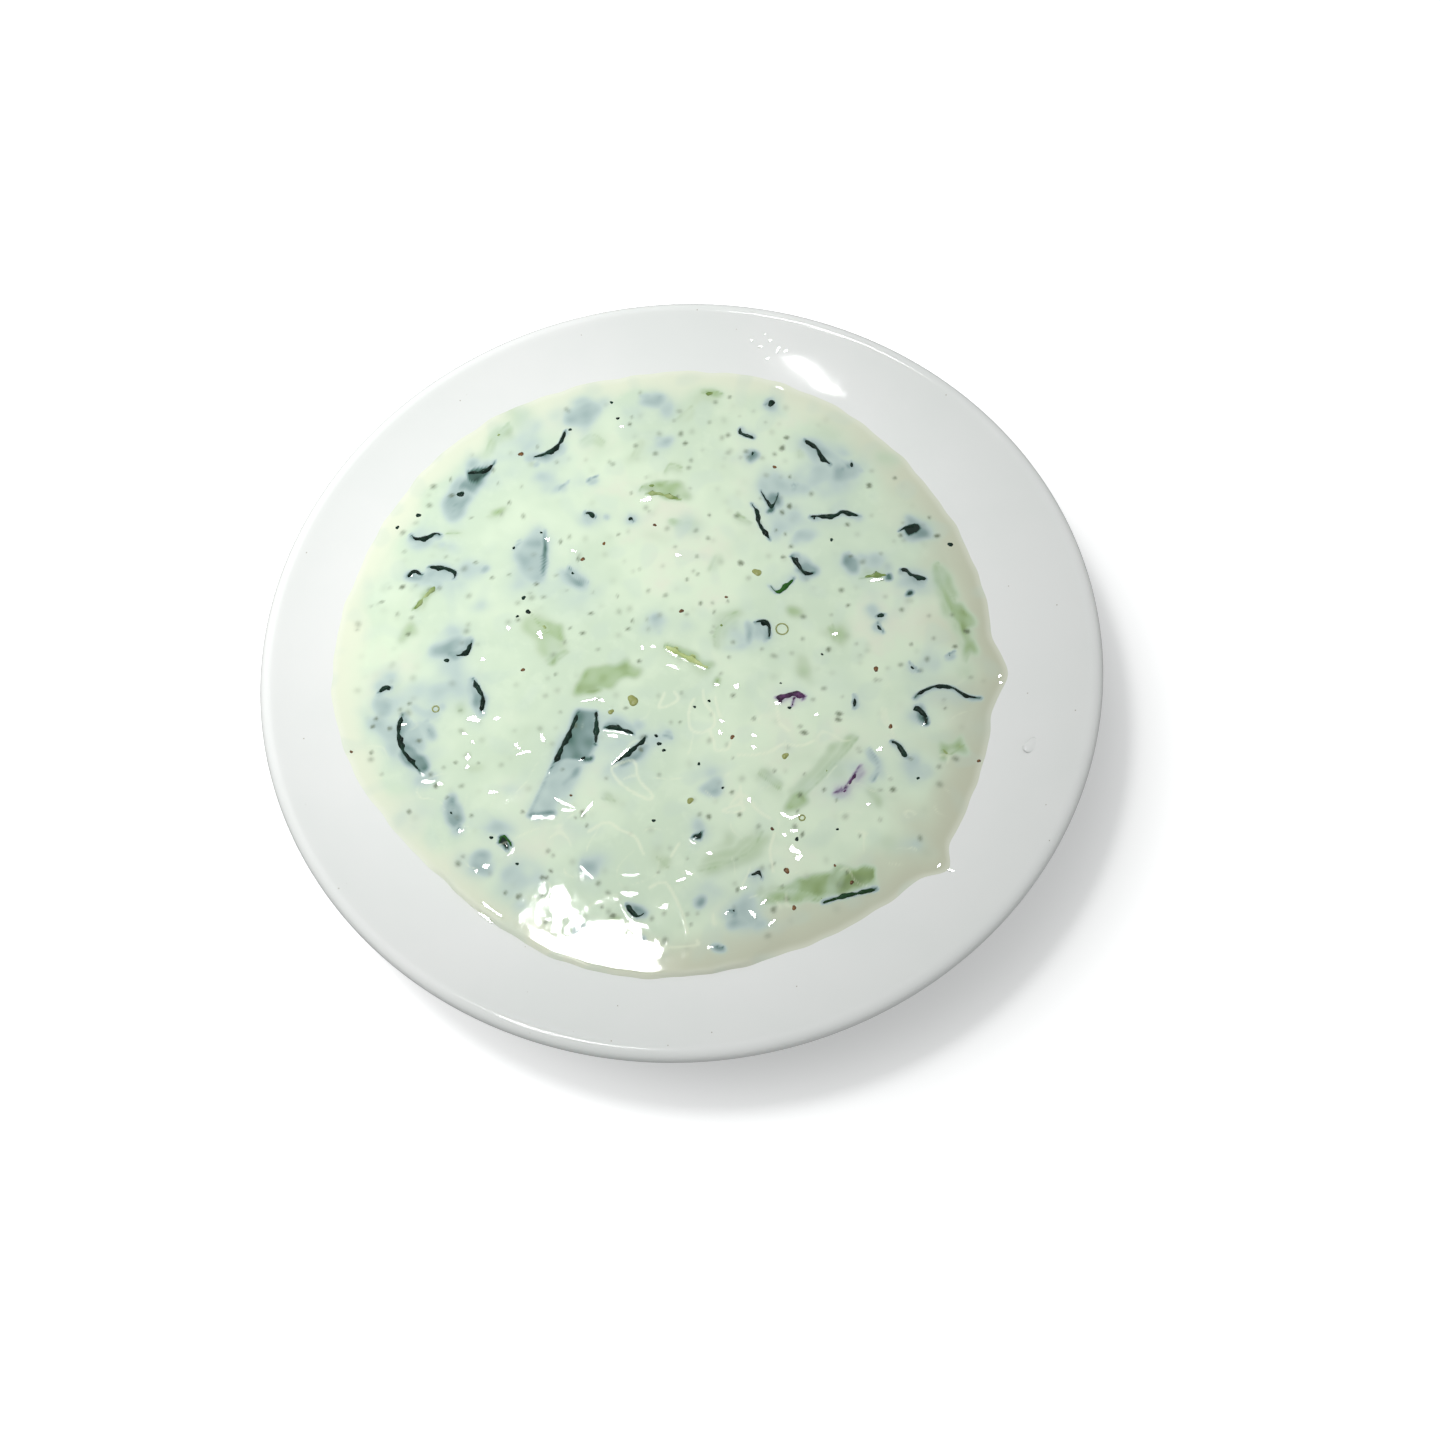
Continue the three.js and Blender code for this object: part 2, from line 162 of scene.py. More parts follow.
def noise(length, sharpness=2.0):
    """A seeded random map of unit deviation whose bumps are about this far apart."""
    white = np.fft.rfft2(rng.standard_normal((MAP_SIZE, MAP_SIZE)))
    band = np.exp(-((frequency * length - 1) * sharpness) ** 2)
    rough = np.fft.irfft2(white * band, (MAP_SIZE, MAP_SIZE))
    return rough / rough.std()


def read_map(values, x, y):
    """Values of a map at points between its cells."""
    u = np.clip((np.asarray(x) + HALF_MAP) / CELL - 0.5, 0, MAP_SIZE - 1.001)
    v = np.clip((np.asarray(y) + HALF_MAP) / CELL - 0.5, 0, MAP_SIZE - 1.001)
    i, j = u.astype(int), v.astype(int)
    s, t = u - i, v - j
    near = values[j, i] * (1 - s) + values[j, i + 1] * s
    far = values[j + 1, i] * (1 - s) + values[j + 1, i + 1] * s
    return near * (1 - t) + far * t


def round_angles(count):
    """Evenly spaced bearings all the way round, in radians."""
    return np.linspace(0, 2 * math.pi, count, endpoint=False)


def random_angles(count):
    return rng.uniform(0, 2 * math.pi, count)


def uneven_reach(angles, waves, starts):
    """Reach of an uneven outline at bearings, from waves of a number round it and a size each."""
    reach = 1.0
    for (number, size), start in zip(waves, starts):
        reach = reach + size * np.sin(number * angles + start)
    return reach


# ---- Meshes -----------------------------------------------------------------------------


def mesh_object(name, points, faces, material, smooth=True):
    """A mesh object from points in millimetres."""
    mesh = bpy.data.meshes.new(name)
    mesh.from_pydata([tuple(p) for p in np.asarray(points) * MM], [], faces)
    mesh.polygons.foreach_set("use_smooth", [smooth] * len(mesh.polygons))
    mesh.materials.append(material)
    mesh.update()
    piece = bpy.data.objects.new(name, mesh)
    bpy.context.scene.collection.objects.link(piece)
    return piece


def point_values(piece, name, values):
    """Stores one number for each point of a mesh, which its material reads."""
    layer = piece.data.attributes.new(name, "FLOAT", "POINT")
    layer.data.foreach_set("value", np.asarray(values, np.float32))


def smooth_path(points, count):
    """Points evenly spaced along a smooth curve through the given ones, and its length."""
    given = np.array(points, float)
    ends = [2 * given[0] - given[1], *given, 2 * given[-1] - given[-2]]
    fine = []
    for a, b, c, d in zip(ends, ends[1:], ends[2:], ends[3:]):
        for t in np.linspace(0, 1, 12, endpoint=False):
            bend = (2 * a - 5 * b + 4 * c - d) * t + (3 * b - a - 3 * c + d) * t * t
            fine.append(b + 0.5 * t * (c - a + bend))
    fine = np.array([*fine, given[-1]])
    run = np.concatenate([[0], np.cumsum(np.linalg.norm(np.diff(fine, axis=0), axis=1))])
    marks = np.linspace(0, run[-1], count)
    return np.stack([np.interp(marks, run, fine[:, k]) for k in range(2)], 1), run[-1]


# ---- Strips in the dip ------------------------------------------------------------------
# Each is a curled ribbon. Its upper edge follows a path, x and y in millimetres from the
# middle of the pool. Its body turns down steeply from that edge and then runs on below the
# surface, towards a bearing in degrees from +X, leaning this far from upright.

CURL_LEAN = 30.0
CURL_WIDTH = 0.9
END_ROUNDNESS = 3.5
EDGE_WAVES = ((0.6, 1.3), (0.4, 3.1))
SINK_START, SINK_END = 0.35, 0.7


class Strip:
    """A strip of peel. Sunk is how deep its edge lies, and sink how much deeper its far end.
    Show is how dark its body is beside its edge, and fresh how bright a green it is."""

    def __init__(self, path, towards, lean, name="", width=3.6, thick=1.05, sunk=-PROUD,
                 show=1.0, fresh=0.0, sink=0.0):
        self.path = [(x, y + POOL_Y) for x, y in path]
        self.name = name
        self.width = width
        self.thick = thick
        self.sunk = sunk
        self.show = show
        self.fresh = fresh
        self.sink = sink
        bearing = math.radians(towards)
        self.bearing = np.array([math.cos(bearing), math.sin(bearing)])
        self.lean = math.radians(lean)
        self.wave = random_angles(len(EDGE_WAVES))

    def path_length(self):
        return smooth_path(self.path, 8)[1]

    def section(self, down):
        """How far across and how deep the body is at distances down from its edge."""
        curl = np.minimum(down, CURL_WIDTH)
        rest = np.maximum(down - CURL_WIDTH, 0)
        curl_lean = min(math.radians(CURL_LEAN), self.lean)
        across = curl * math.sin(curl_lean) + rest * math.sin(self.lean)
        depth = curl * math.cos(curl_lean) + rest * math.cos(self.lean)
        return across, depth + self.sunk

    def outline(self, count):
        """Points along the edge, how full the body is there, and an uneven edge height."""
        points, length = smooth_path(self.path, count)
        t = np.linspace(0, 1, count)
        fullness = np.sqrt(np.clip(1 - np.abs(2 * t - 1) ** END_ROUNDNESS, 0.02, 1))
        uneven = np.zeros(count)
        for (size, pace), start in zip(EDGE_WAVES, self.wave):
            uneven += size * np.sin(length * t * pace + start)
        return points, fullness, uneven

    def below(self, count):
        """How much deeper than at its start the strip lies along its length."""
        return self.sink * smooth_step(SINK_START, SINK_END, np.linspace(0, 1, count))


class Slice(Strip):
    """A translucent slice: level with the surface, and paler away from its edge than skin."""

    def __init__(self, path, towards, lean, name="", width=3.6, sunk=0.15, show=0.8):
        super().__init__(path, towards, lean, name, width, 1.2, sunk, show)


class Sheet:
    """A flat piece with straight sides that lies level under the surface."""

    def __init__(self, corners, depth):
        self.corners = np.array(corners, float)
        self.depth = depth

    def holds(self, x, y):
        """Whether points are inside the convex outline, whose corners run clockwise."""
        inside = np.ones(np.shape(x), bool)
        for (ax, ay), (bx, by) in zip(self.corners, np.roll(self.corners, -1, 0)):
            inside &= (bx - ax) * (y - ay) - (by - ay) * (x - ax) <= 0
        return inside


# The outlines of sunk things are irregular, from waves of a size and a length each.
SHIFT_WAVES = ((0.42, 6), (0.05, 2.2))
SHEET_SHIFT = 0.6


def shift_map():
    """A map of an uneven shift in one direction."""
    return sum(size * noise(length) for size, length in SHIFT_WAVES)


wander_x, wander_y = shift_map(), shift_map()


def wandered(at, amount):
    """Coordinates of points after a share of the uneven shift."""
    x, y = at[:, 0], at[:, 1]
    return x + amount * read_map(wander_x, x, y), y + amount * read_map(wander_y, x, y)


LEAF_WAVES = ((2, 0.14), (3, 0.1), (5, 0.05))


class Leaf:
    """A flat piece that lies level under the surface, at a place in the dish's frame."""

    def __init__(self, x, y, length, width, turn, depth):
        self.centre = np.array([x, y])
        self.length = length
        self.width = width
        self.along = np.array([math.cos(math.radians(turn)), math.sin(math.radians(turn))])
        self.depth = depth
        self.wave = random_angles(len(LEAF_WAVES))

    def rim(self, count, scale=1.0):
        """Points round its uneven oval outline, or round a smaller one inside it."""
        t = round_angles(count)
        reach = scale * uneven_reach(t, LEAF_WAVES, self.wave)
        a = reach * self.length / 2 * np.cos(t)
        b = reach * self.width / 2 * np.sin(t)
        across = np.array([-self.along[1], self.along[0]])
        return self.centre + a[:, None] * self.along + b[:, None] * across


# Depths that part the layers of what lies in the dip. The first layer is what breaks the surface.
SUNK_LAYERS = [-9, 0.15, 0.35, 0.6, 0.9, 1.25, 1.7, 2.3, 3.1, 4.2, 5.5]
SHALLOWEST = 0.05
MARK_STEP = CELL / 2
RIND = 0.6
BODY_ROUNDNESS = 0.6
BODY_UNEVEN = 0.25
FULL_WANDER = 3.0
SURFACE_BLUR = 0.14
DEPTH_BLUR = 0.4
FILL_GAIN = 1.15
CLOUDINESS = 0.1


class Veil:
    """What lies under the surface, as seen from above through the dip. Clearness is the depth
    at which a thing shows at a little over a third."""

    def __init__(self, clearness):
        self.clearness = clearness
        self.layers = [np.zeros((MAP_SIZE, MAP_SIZE)) for _ in SUNK_LAYERS[1:]]

    def mark(self, x, y, depth, show):
        """Draws points into the layers of their depths."""
        i = ((x + HALF_MAP) / CELL).astype(int)
        j = ((y + HALF_MAP) / CELL).astype(int)
        for layer, low, high in zip(self.layers, SUNK_LAYERS, SUNK_LAYERS[1:]):
            inside = (depth >= low) & (depth < high)
            np.maximum.at(layer, (j[inside], i[inside]), show)

    def add_strip(self, strip):
        count = int(strip.path_length() / MARK_STEP) + 2
        points, fullness, uneven = strip.outline(count)
        roundness = (1 - np.linspace(-1, 1, count) ** 2) ** BODY_ROUNDNESS
        reach = CURL_WIDTH + (strip.width - CURL_WIDTH) * roundness * (1 + BODY_UNEVEN * uneven)
        for down in np.arange(0, strip.width * (1.05 + BODY_UNEVEN), MARK_STEP):
            across, depth = strip.section(down)
            shown = (down <= reach) & (down <= strip.width * fullness + 0.5)
            at = points[shown] + strip.bearing * across
            below = strip.below(count)[shown]
            show = strip.show + (1 - strip.show) * math.exp(-down / RIND)
            self.mark(*wandered(at, min(down / FULL_WANDER, 1)), below + depth, show)

    def add_leaf(self, leaf):
        rings = int(leaf.length / CELL) + 2
        for scale in np.linspace(0, 1, rings):
            at = leaf.rim(int(4 * leaf.length / CELL) + 8, scale)
            depths = np.full(len(at), leaf.depth)
            self.mark(*wandered(at, min(leaf.width / FULL_WANDER, 1)), depths, 1.0)

    def add_sheet(self, sheet):
        inside = sheet.holds(map_x - SHEET_SHIFT * wander_x, map_y - SHEET_SHIFT * wander_y)
        self.mark(map_x[inside], map_y[inside], np.full(inside.sum(), sheet.depth), 1.0)

    def map(self):
        """How much of what is sunk shows, from nought to one. The nearest thing wins."""
        clear = np.ones((MAP_SIZE, MAP_SIZE))
        for layer, low, high in zip(self.layers, SUNK_LAYERS, SUNK_LAYERS[1:]):
            depth = (low + high) / 2 if low > 0 else SHALLOWEST
            shown = np.clip(FILL_GAIN * blurred(layer, SURFACE_BLUR + DEPTH_BLUR * depth), 0, 1)
            clear = np.minimum(clear, 1 - shown * math.exp(-depth / self.clearness))
        cloudy = 1 + CLOUDINESS * noise(5) * smooth_step(1, 0.6, 1 - clear)
        return np.clip((1 - clear) * cloudy, 0, 1)


# A ribbon's section: where its points lie down the curl, and its thickness at all its points.
CURL_STEPS = (0, 0.25, 0.6, 1.0)
SECTION_THICKNESS = np.array([0.45, 0.9, 1, 1, 0.9, 0.4])
THICKNESS_UNEVEN = 0.45
RIBBON_STEP = 0.5
END_WIDTH = 0.35
EDGE_DIP = 0.12
END_DIP = 0.5


def ribbon(strip):
    """Points and faces of a strip's closed body."""
    count = max(int(strip.path_length() / RIBBON_STEP), 6)
    points, fullness, uneven = strip.outline(count)
    downs = [step * CURL_WIDTH for step in CURL_STEPS]
    downs = np.array([*downs, (CURL_WIDTH + strip.width) / 2, strip.width])
    out, faces = [], []
    sections = 2 * len(downs)
    for (x, y), full, wave, below in zip(points, fullness, uneven, strip.below(count)):
        across, depth = strip.section(downs * (END_WIDTH + (1 - END_WIDTH) * full))
        slope_across = np.gradient(across)
        slope_depth = np.gradient(depth)
        size = np.hypot(slope_across, slope_depth)
        half = strip.thick / 2 * full * (1 + THICKNESS_UNEVEN * wave) * SECTION_THICKNESS
        top = surface_height(x, y) - EDGE_DIP * (1 - wave) - END_DIP * (1 - full) - below
        rows = []
        for side in (1, -1):
            shift_across = across + side * half * slope_depth / size
            shift_depth = depth - side * half * slope_across / size
            rows.append((shift_across, shift_depth))
        for a, d in [*zip(*rows[0]), *reversed(list(zip(*rows[1])))]:
            out.append((x + a * strip.bearing[0], y + a * strip.bearing[1], top - d))
    for i in range(count - 1):
        for k in range(sections):
            a, b = i * sections + k, i * sections + (k + 1) % sections
            faces.append((a, b, b + sections, a + sections))
    faces.append(tuple(range(sections - 1, -1, -1)))
    faces.append(tuple(range((count - 1) * sections, count * sections)))
    return np.array(out), faces


# Strips with a name stand for the CAD model's own. The others are made here only.
peel = [
    Strip([(-22.6, -10.2), (-24.6, -14.8), (-27.6, -20.6), (-34, -33.5)],
          -26, 62, "long_fold", width=2, sink=0.6),
    Strip([(-18.7, -10.6), (-18.8, -14.5), (-19.2, -18.8)], 180, 10, "fold_edge", width=2.2),
    Strip([(-17.4, -14.8), (-14.6, -15.3), (-10.9, -16.9)], 70, 60, "seven_bar"),
    Strip([(-8.5, -17.3), (-10, -19), (-16, -23.4)], -50, 40, "seven_leg", width=2.6, thick=1),
    Strip([(-60.2, -8), (-61.2, -11.5), (-60.4, -16.4), (-56.6, -22)], 0, 62, "cup", width=3.4),
    Strip([(-65.4, -2.4), (-64, -1.2), (-62.4, -1.4)], -80, 50, "cup_tip"),
    Strip([(-57.8, 36.1), (-56.8, 34.8), (-54.5, 34.8), (-52.3, 35.7), (-50.9, 35.2)], -90, 50, "hook_west"),
    Strip([(-54, 27.4), (-50.6, 26.8), (-48, 25.4), (-48.2, 23.8)], -120, 55, "bow_west"),
    Strip([(-58.8, 25.4), (-57, 26.6), (-55.2, 25.3)], -100, 50, "knob_west"),
    Strip([(-38.5, 53), (-40.6, 50.8), (-45, 50.6)], 100, 55, "wing_northwest", width=3.2, thick=1),
    Strip([(-30, 53.8), (-27, 54.6), (-24.2, 56.5), (-22.3, 60.2)], -50, 50, "wave_north"),
    Strip([(18.2, 37.6), (19.3, 35.4), (19.7, 32), (21.8, 27.8)], 30, 15, "blade_east", width=2.4),
    Strip([(20.6, 40.6), (22.3, 36.6), (23.2, 36.4), (24.7, 39.6)], 80, 35, "vee", width=2.6),
    Strip([(31, 33.2), (36.5, 33), (38.5, 33.8), (42.4, 32.2)], -90, 40, "ripple_east", width=2.2),
    Strip([(31.6, 53), (34, 50.8), (35.4, 47.8), (37.1, 45.7)], -130, 50, "slash_northeast"),
    Strip([(17.2, 57.3), (17.2, 55.9), (20.2, 54.2)], 50, 50, "hook_north", width=2.6),
    Strip([(50.2, 27.3), (52, 28.1), (54, 28.1)], 50, 40, "bean_east", width=2.5, thick=1.4),
    Strip([(49.6, 18), (51, 17.7), (51.9, 16.5), (55.2, 15.2)], -100, 60, "zigzag_east"),
    Strip([(25.8, 23.4), (27, 21.2), (28.6, 18.6), (30.6, 18.4)], 50, 65, "curl_east", width=3.5),
    Strip([(20.8, 16.2), (22.3, 14.3), (24.3, 15.6), (26.4, 17.6)],
          110, 35, "green_wedge", thick=1.1, fresh=1),
    Strip([(49.2, -13.2), (50.6, -12), (54, -10.9), (57.4, -11.5), (60.2, -13.5), (63.6, -14.3)],
          -90, 25, "wire_east", width=1.8, thick=0.8),
    Strip([(49.2, -15), (50.6, -16.4), (51.7, -18.4)], -150, 50, "drop_east", width=2.8, thick=1.3),
    Strip([(43.3, -22.6), (44.9, -23.8), (46.4, -26.8)], -140, 35, "tick_southeast", width=2.2),
    Strip([(-44.8, -0.8), (-43.7, -3), (-42.6, -6), (-43.1, -9.2)], 180, 60, "curl_west", width=3.5),
    Strip([(-44.6, 8.2), (-45.3, 6.3), (-46.2, 4.9), (-48.6, 4.8)], 130, 60, "nib_west", width=3.4),
    Strip([(-14.9, -55.2), (-13.8, -57), (-12.6, -58), (-11.1, -57.4)], 50, 50, "check_south", width=2.4),
    Strip([(16.8, 7.7), (18.8, 7.8), (19.9, 6.4), (19.7, 3.6)], -140, 70, "crown", width=3.6),
]

cucumber = [
    Slice([(13.5, -56.4), (19, -56.8), (25.3, -57.3), (30, -56.1), (37, -55.1)],
          95, 78, "skin_slice", width=5.5),
    Slice([(-21.8, -5.8), (-18, -5.5), (-14.2, -3.8), (-11, 0.6)], 115, 68, "crescent", width=5),
    Slice([(-23.8, 3.8), (-26.3, 2), (-28.8, 0.9)], 125, 75, "wedge", width=7),
    Slice([(-5.2, 41.6), (-2, 41.3), (0, 40.4), (2.8, 39.4)], 85, 68, "glossy", width=4.5, sunk=-0.2),
    Slice([(-3.5, 3.4), (1, 0.4), (6, -2.8)], 57, 78, "stick", width=2.4, sunk=-0.3),
    Slice([(7.5, 2.4), (8, 6), (10.4, 9.3), (13.4, 10.6)], -40, 72, "arc", width=4),
    Slice([(0.4, -49.2), (6, -48), (11.5, -45.4), (14.6, -41)], 115, 70, "bowed", width=4.5),
    Slice([(20.2, -37), (23.4, -34.2), (28, -30.2), (33, -25.2), (36.4, -21.4)],
          135, 74, "long_slice", width=4),
    Slice([(58, 19), (59.8, 12), (62.4, 4), (62.8, -1.5), (61.2, -6)],
          185, 78, "shore", width=3.6, show=1),
    Slice([(40.5, 16.4), (44, 16.6), (47.2, 16.4)], 95, 68, "tip_east", width=4, sunk=-0.2),
    Slice([(-40.6, 56.2), (-39, 59.4), (-35, 63.4)], -30, 78, "rind_northwest", width=4),
    Slice([(-57.8, 17), (-55, 20.2), (-52.2, 23)], -45, 60, "shred_west", width=2.2, sunk=-0.15),
]

onion = [
    Strip([(19.6, -10.7), (21.6, -10.4), (24.2, -9.9), (26.3, -10.9)], -90, 45, "comb", width=2.4, thick=1.5),
    Strip([(36.4, -27.6), (33.7, -30.9), (32.2, -33.3), (29.8, -33.8)], -45, 65, "swirl", width=3.2, sunk=0),
]

sunk_onion = [
    Strip([(20.8, -10.8), (20.2, -12.4)], 0, 40, width=1.6, thick=0.9, sunk=-0.2),
    Strip([(23.6, -10.6), (22.8, -13.4)], 0, 40, width=1.6, thick=0.9, sunk=-0.15),
    Strip([(26, -11), (25.6, -12)], 180, 40, width=1.4, thick=0.9, sunk=-0.1),
    Strip([(33.6, -31.6), (32.4, -32.8), (30.4, -33.2)], 120, 60, width=2.4, thick=1.3, sunk=0),
]

sunk_peel = [
    Strip([(-44, 49.5), (-46.3, 45.5), (-48.8, 40)], 150, 70, width=3.2, sunk=0.2),
    Strip([(41.7, 46.4), (41.9, 44.6)], 200, 75, width=4, sunk=-0.2),
    Strip([(39, 47), (44, 43.6)], -120, 82, width=4, sunk=0.6, show=0.7),
    Strip([(43, 7), (44.2, 7.5), (45.3, 7.2)], -90, 50, width=2.5, sunk=-0.1),
    Strip([(43.3, 5.5), (44.5, 2.8)], 180, 60, width=2, sunk=0),
    Strip([(-40.6, -39.2), (-39.4, -37.6), (-37.6, -40)], -90, 40, width=1.5, thick=1.2, sunk=-0.25, fresh=1),
    Strip([(-50, -28.5), (-49.8, -32), (-48.5, -34.3), (-49, -36)], 160, 75, width=2.6, sunk=0.1),
    Strip([(-46.5, -43), (-42.5, -43.8)], -80, 88, width=3.5, sunk=0.7, show=0.8),
    Strip([(0.2, -41.8), (1, -41.5), (2, -40.3)], 90, 70, width=4, sunk=-0.1),
    Strip([(10.8, -51), (12, -50.8), (13, -50.5), (13.6, -52)], 90, 60, width=2, sunk=-0.2),
    Strip([(6, -58.3), (7.6, -57.8)], -90, 75, width=4.5, sunk=0),
    Strip([(2.2, -65.5), (4.5, -66)], -90, 60, width=1.5, sunk=0),
    Strip([(-1.2, -55.3), (1.2, -55)], -80, 80, width=2.4, sunk=0.3),
    Strip([(36.4, -11.5), (36, -14.9)], 20, 50, width=1.6, sunk=-0.15),
    Strip([(57, -4), (59.3, -2.8)], -90, 60, width=2, sunk=0.1),
    Strip([(49, -4.5), (51, -7.2)], 200, 60, width=2, sunk=0.1),
    Strip([(23.4, 63.2), (25.8, 64)], 90, 75, width=3, sunk=0.15),
    Strip([(18.7, 48.3), (20.3, 50.8)], 120, 60, width=2, sunk=0),
    Strip([(-19, 38.3), (-17.5, 38), (-16.4, 36.7)], -120, 50, width=1.8, sunk=-0.2),
    Strip([(-9, 36), (-8, 34.8)], 100, 70, width=2.4, sunk=0),
    Strip([(-18, 46.5), (-15.5, 47.5)], -100, 70, width=3, sunk=0.1, show=0.7),
    Strip([(-24.5, 45), (-22, 46.8)], -100, 70, width=2.5, sunk=0.2, show=0.7),
    Strip([(-33.5, 32.5), (-35, 30)], -80, 60, width=2.5, sunk=0.2),
    Strip([(-23.2, 24.8), (-21, 22.5), (-19, 20.5)], -130, 78, width=3.5, sunk=0.1),
    Strip([(-5, -17.5), (-2.8, -18.4)], 90, 75, width=2, sunk=0.2),
    Strip([(-22.8, -21.5), (-21.3, -21)], -90, 40, width=1.2, sunk=-0.1),
    Strip([(25.3, -58), (30, -56.9), (37, -55.9)], 90, 25, width=1.4, thick=0.9, sunk=-0.4, fresh=0.3),
    Strip([(-34, -33.6), (-31.5, -33.4), (-28.6, -33.8)], 90, 55, width=1.6, sunk=0.05),
    Strip([(-55, -10), (-54.3, -13)], 180, 70, width=3, sunk=0.2, show=0.8),
    Strip([(-66, -3), (-62, -5)], -100, 84, width=4, sunk=0.6, show=0.7),
    Strip([(-50.5, 6.5), (-48, 5)], -110, 78, width=3, sunk=0.2),
    Strip([(38.8, 23.5), (39.3, 18.6)], 180, 80, width=2, sunk=0.25),
    Strip([(40.5, 21), (44, 19.6)], 100, 84, width=3, sunk=0.7, show=0.7),
    Strip([(27.6, 41.6), (29.4, 41.4)], -100, 75, width=3, sunk=0.2),
    Strip([(-20, 67), (-14, 66.5)], -95, 86, width=6, sunk=0.7, show=0.6),
    Strip([(-5, 68), (0, 67.5)], -80, 80, width=4, sunk=0.4, show=0.6),
    Strip([(-2, 56.5), (2, 55.5)], -100, 84, width=3.5, sunk=0.6, show=0.6),
    Strip([(-7, 11.4), (-3.6, 10)], -90, 84, width=3.5, sunk=0.8, show=0.5),
    Strip([(38.5, -24), (40, -28), (38.5, -32)], 180, 70, width=2, sunk=0.3, show=0.8),
    Strip([(-24, -44.6), (-20, -44)], -80, 86, width=4, sunk=0.7, show=0.7),
    Strip([(3.6, -29.6), (6.6, -30)], -90, 80, width=2.5, sunk=0.4, show=0.8),
]

sunk_cucumber = [
    Slice([(-32, 14.2), (-28.6, 9), (-26.6, 8.2)], 20, 70, width=3.5, sunk=0.1),
    Slice([(53.5, -25.5), (55, -27), (58.5, -25)], 90, 78, width=4, sunk=0),
    Slice([(33.5, 6), (34.5, 3), (35, 1)], 180, 75, width=3, sunk=0.2),
    Slice([(9, 67.6), (12, 67.8), (14.2, 67)], -90, 70, width=2, sunk=0),
    Slice([(-59.5, 11), (-57.5, 13.5)], -45, 70, width=2.5, sunk=0.2),
    Slice([(-40.8, 38.8), (-37, 40.8)], -60, 70, width=2, sunk=0.3),
    Slice([(-50, 35.5), (-46.8, 35.2)], -90, 70, width=1.8, sunk=0.1),
    Slice([(-52, 33), (-49, 32)], -90, 70, width=2, sunk=0.2),
    Slice([(-0.5, 47), (1, 49.3), (3.5, 48)], -90, 75, width=3, sunk=0.2, show=0.7),
    Slice([(0, 34.8), (4.5, 33.4)], -100, 70, width=2.5, sunk=0.2),
    Slice([(30.3, 50.5), (29.8, 48)], 0, 70, width=2, sunk=0.2),
    Slice([(15, 35.5), (18, 32.5)], -130, 70, width=2.4, sunk=0.2),
    Slice([(-19, 57), (-16, 58.5), (-13.5, 56)], -90, 78, width=3, sunk=0.4, show=0.7),
    Slice([(2.5, 60.5), (7, 64.5)], -45, 75, width=2.5, sunk=0.4, show=0.7),
    Slice([(-5.5, 56), (-8, 51)], 20, 78, width=2.5, sunk=0.5, show=0.6),
    Slice([(-6.5, 42.5), (-5, 44), (0, 44.6)], -60, 75, width=2.5, sunk=0.1),
    Slice([(-18.6, -31), (-15.5, -32)], 90, 75, width=2, sunk=0.2, show=0.8),
    Slice([(-8, -45), (-5.5, -48)], 30, 75, width=2.5, sunk=0.3, show=0.8),
    Slice([(14.5, -28), (19, -32)], 60, 75, width=3, sunk=0.2, show=0.8),
    Slice([(9.5, 25), (7.5, 21)], 20, 80, width=2.4, sunk=0.5, show=0.6),
]

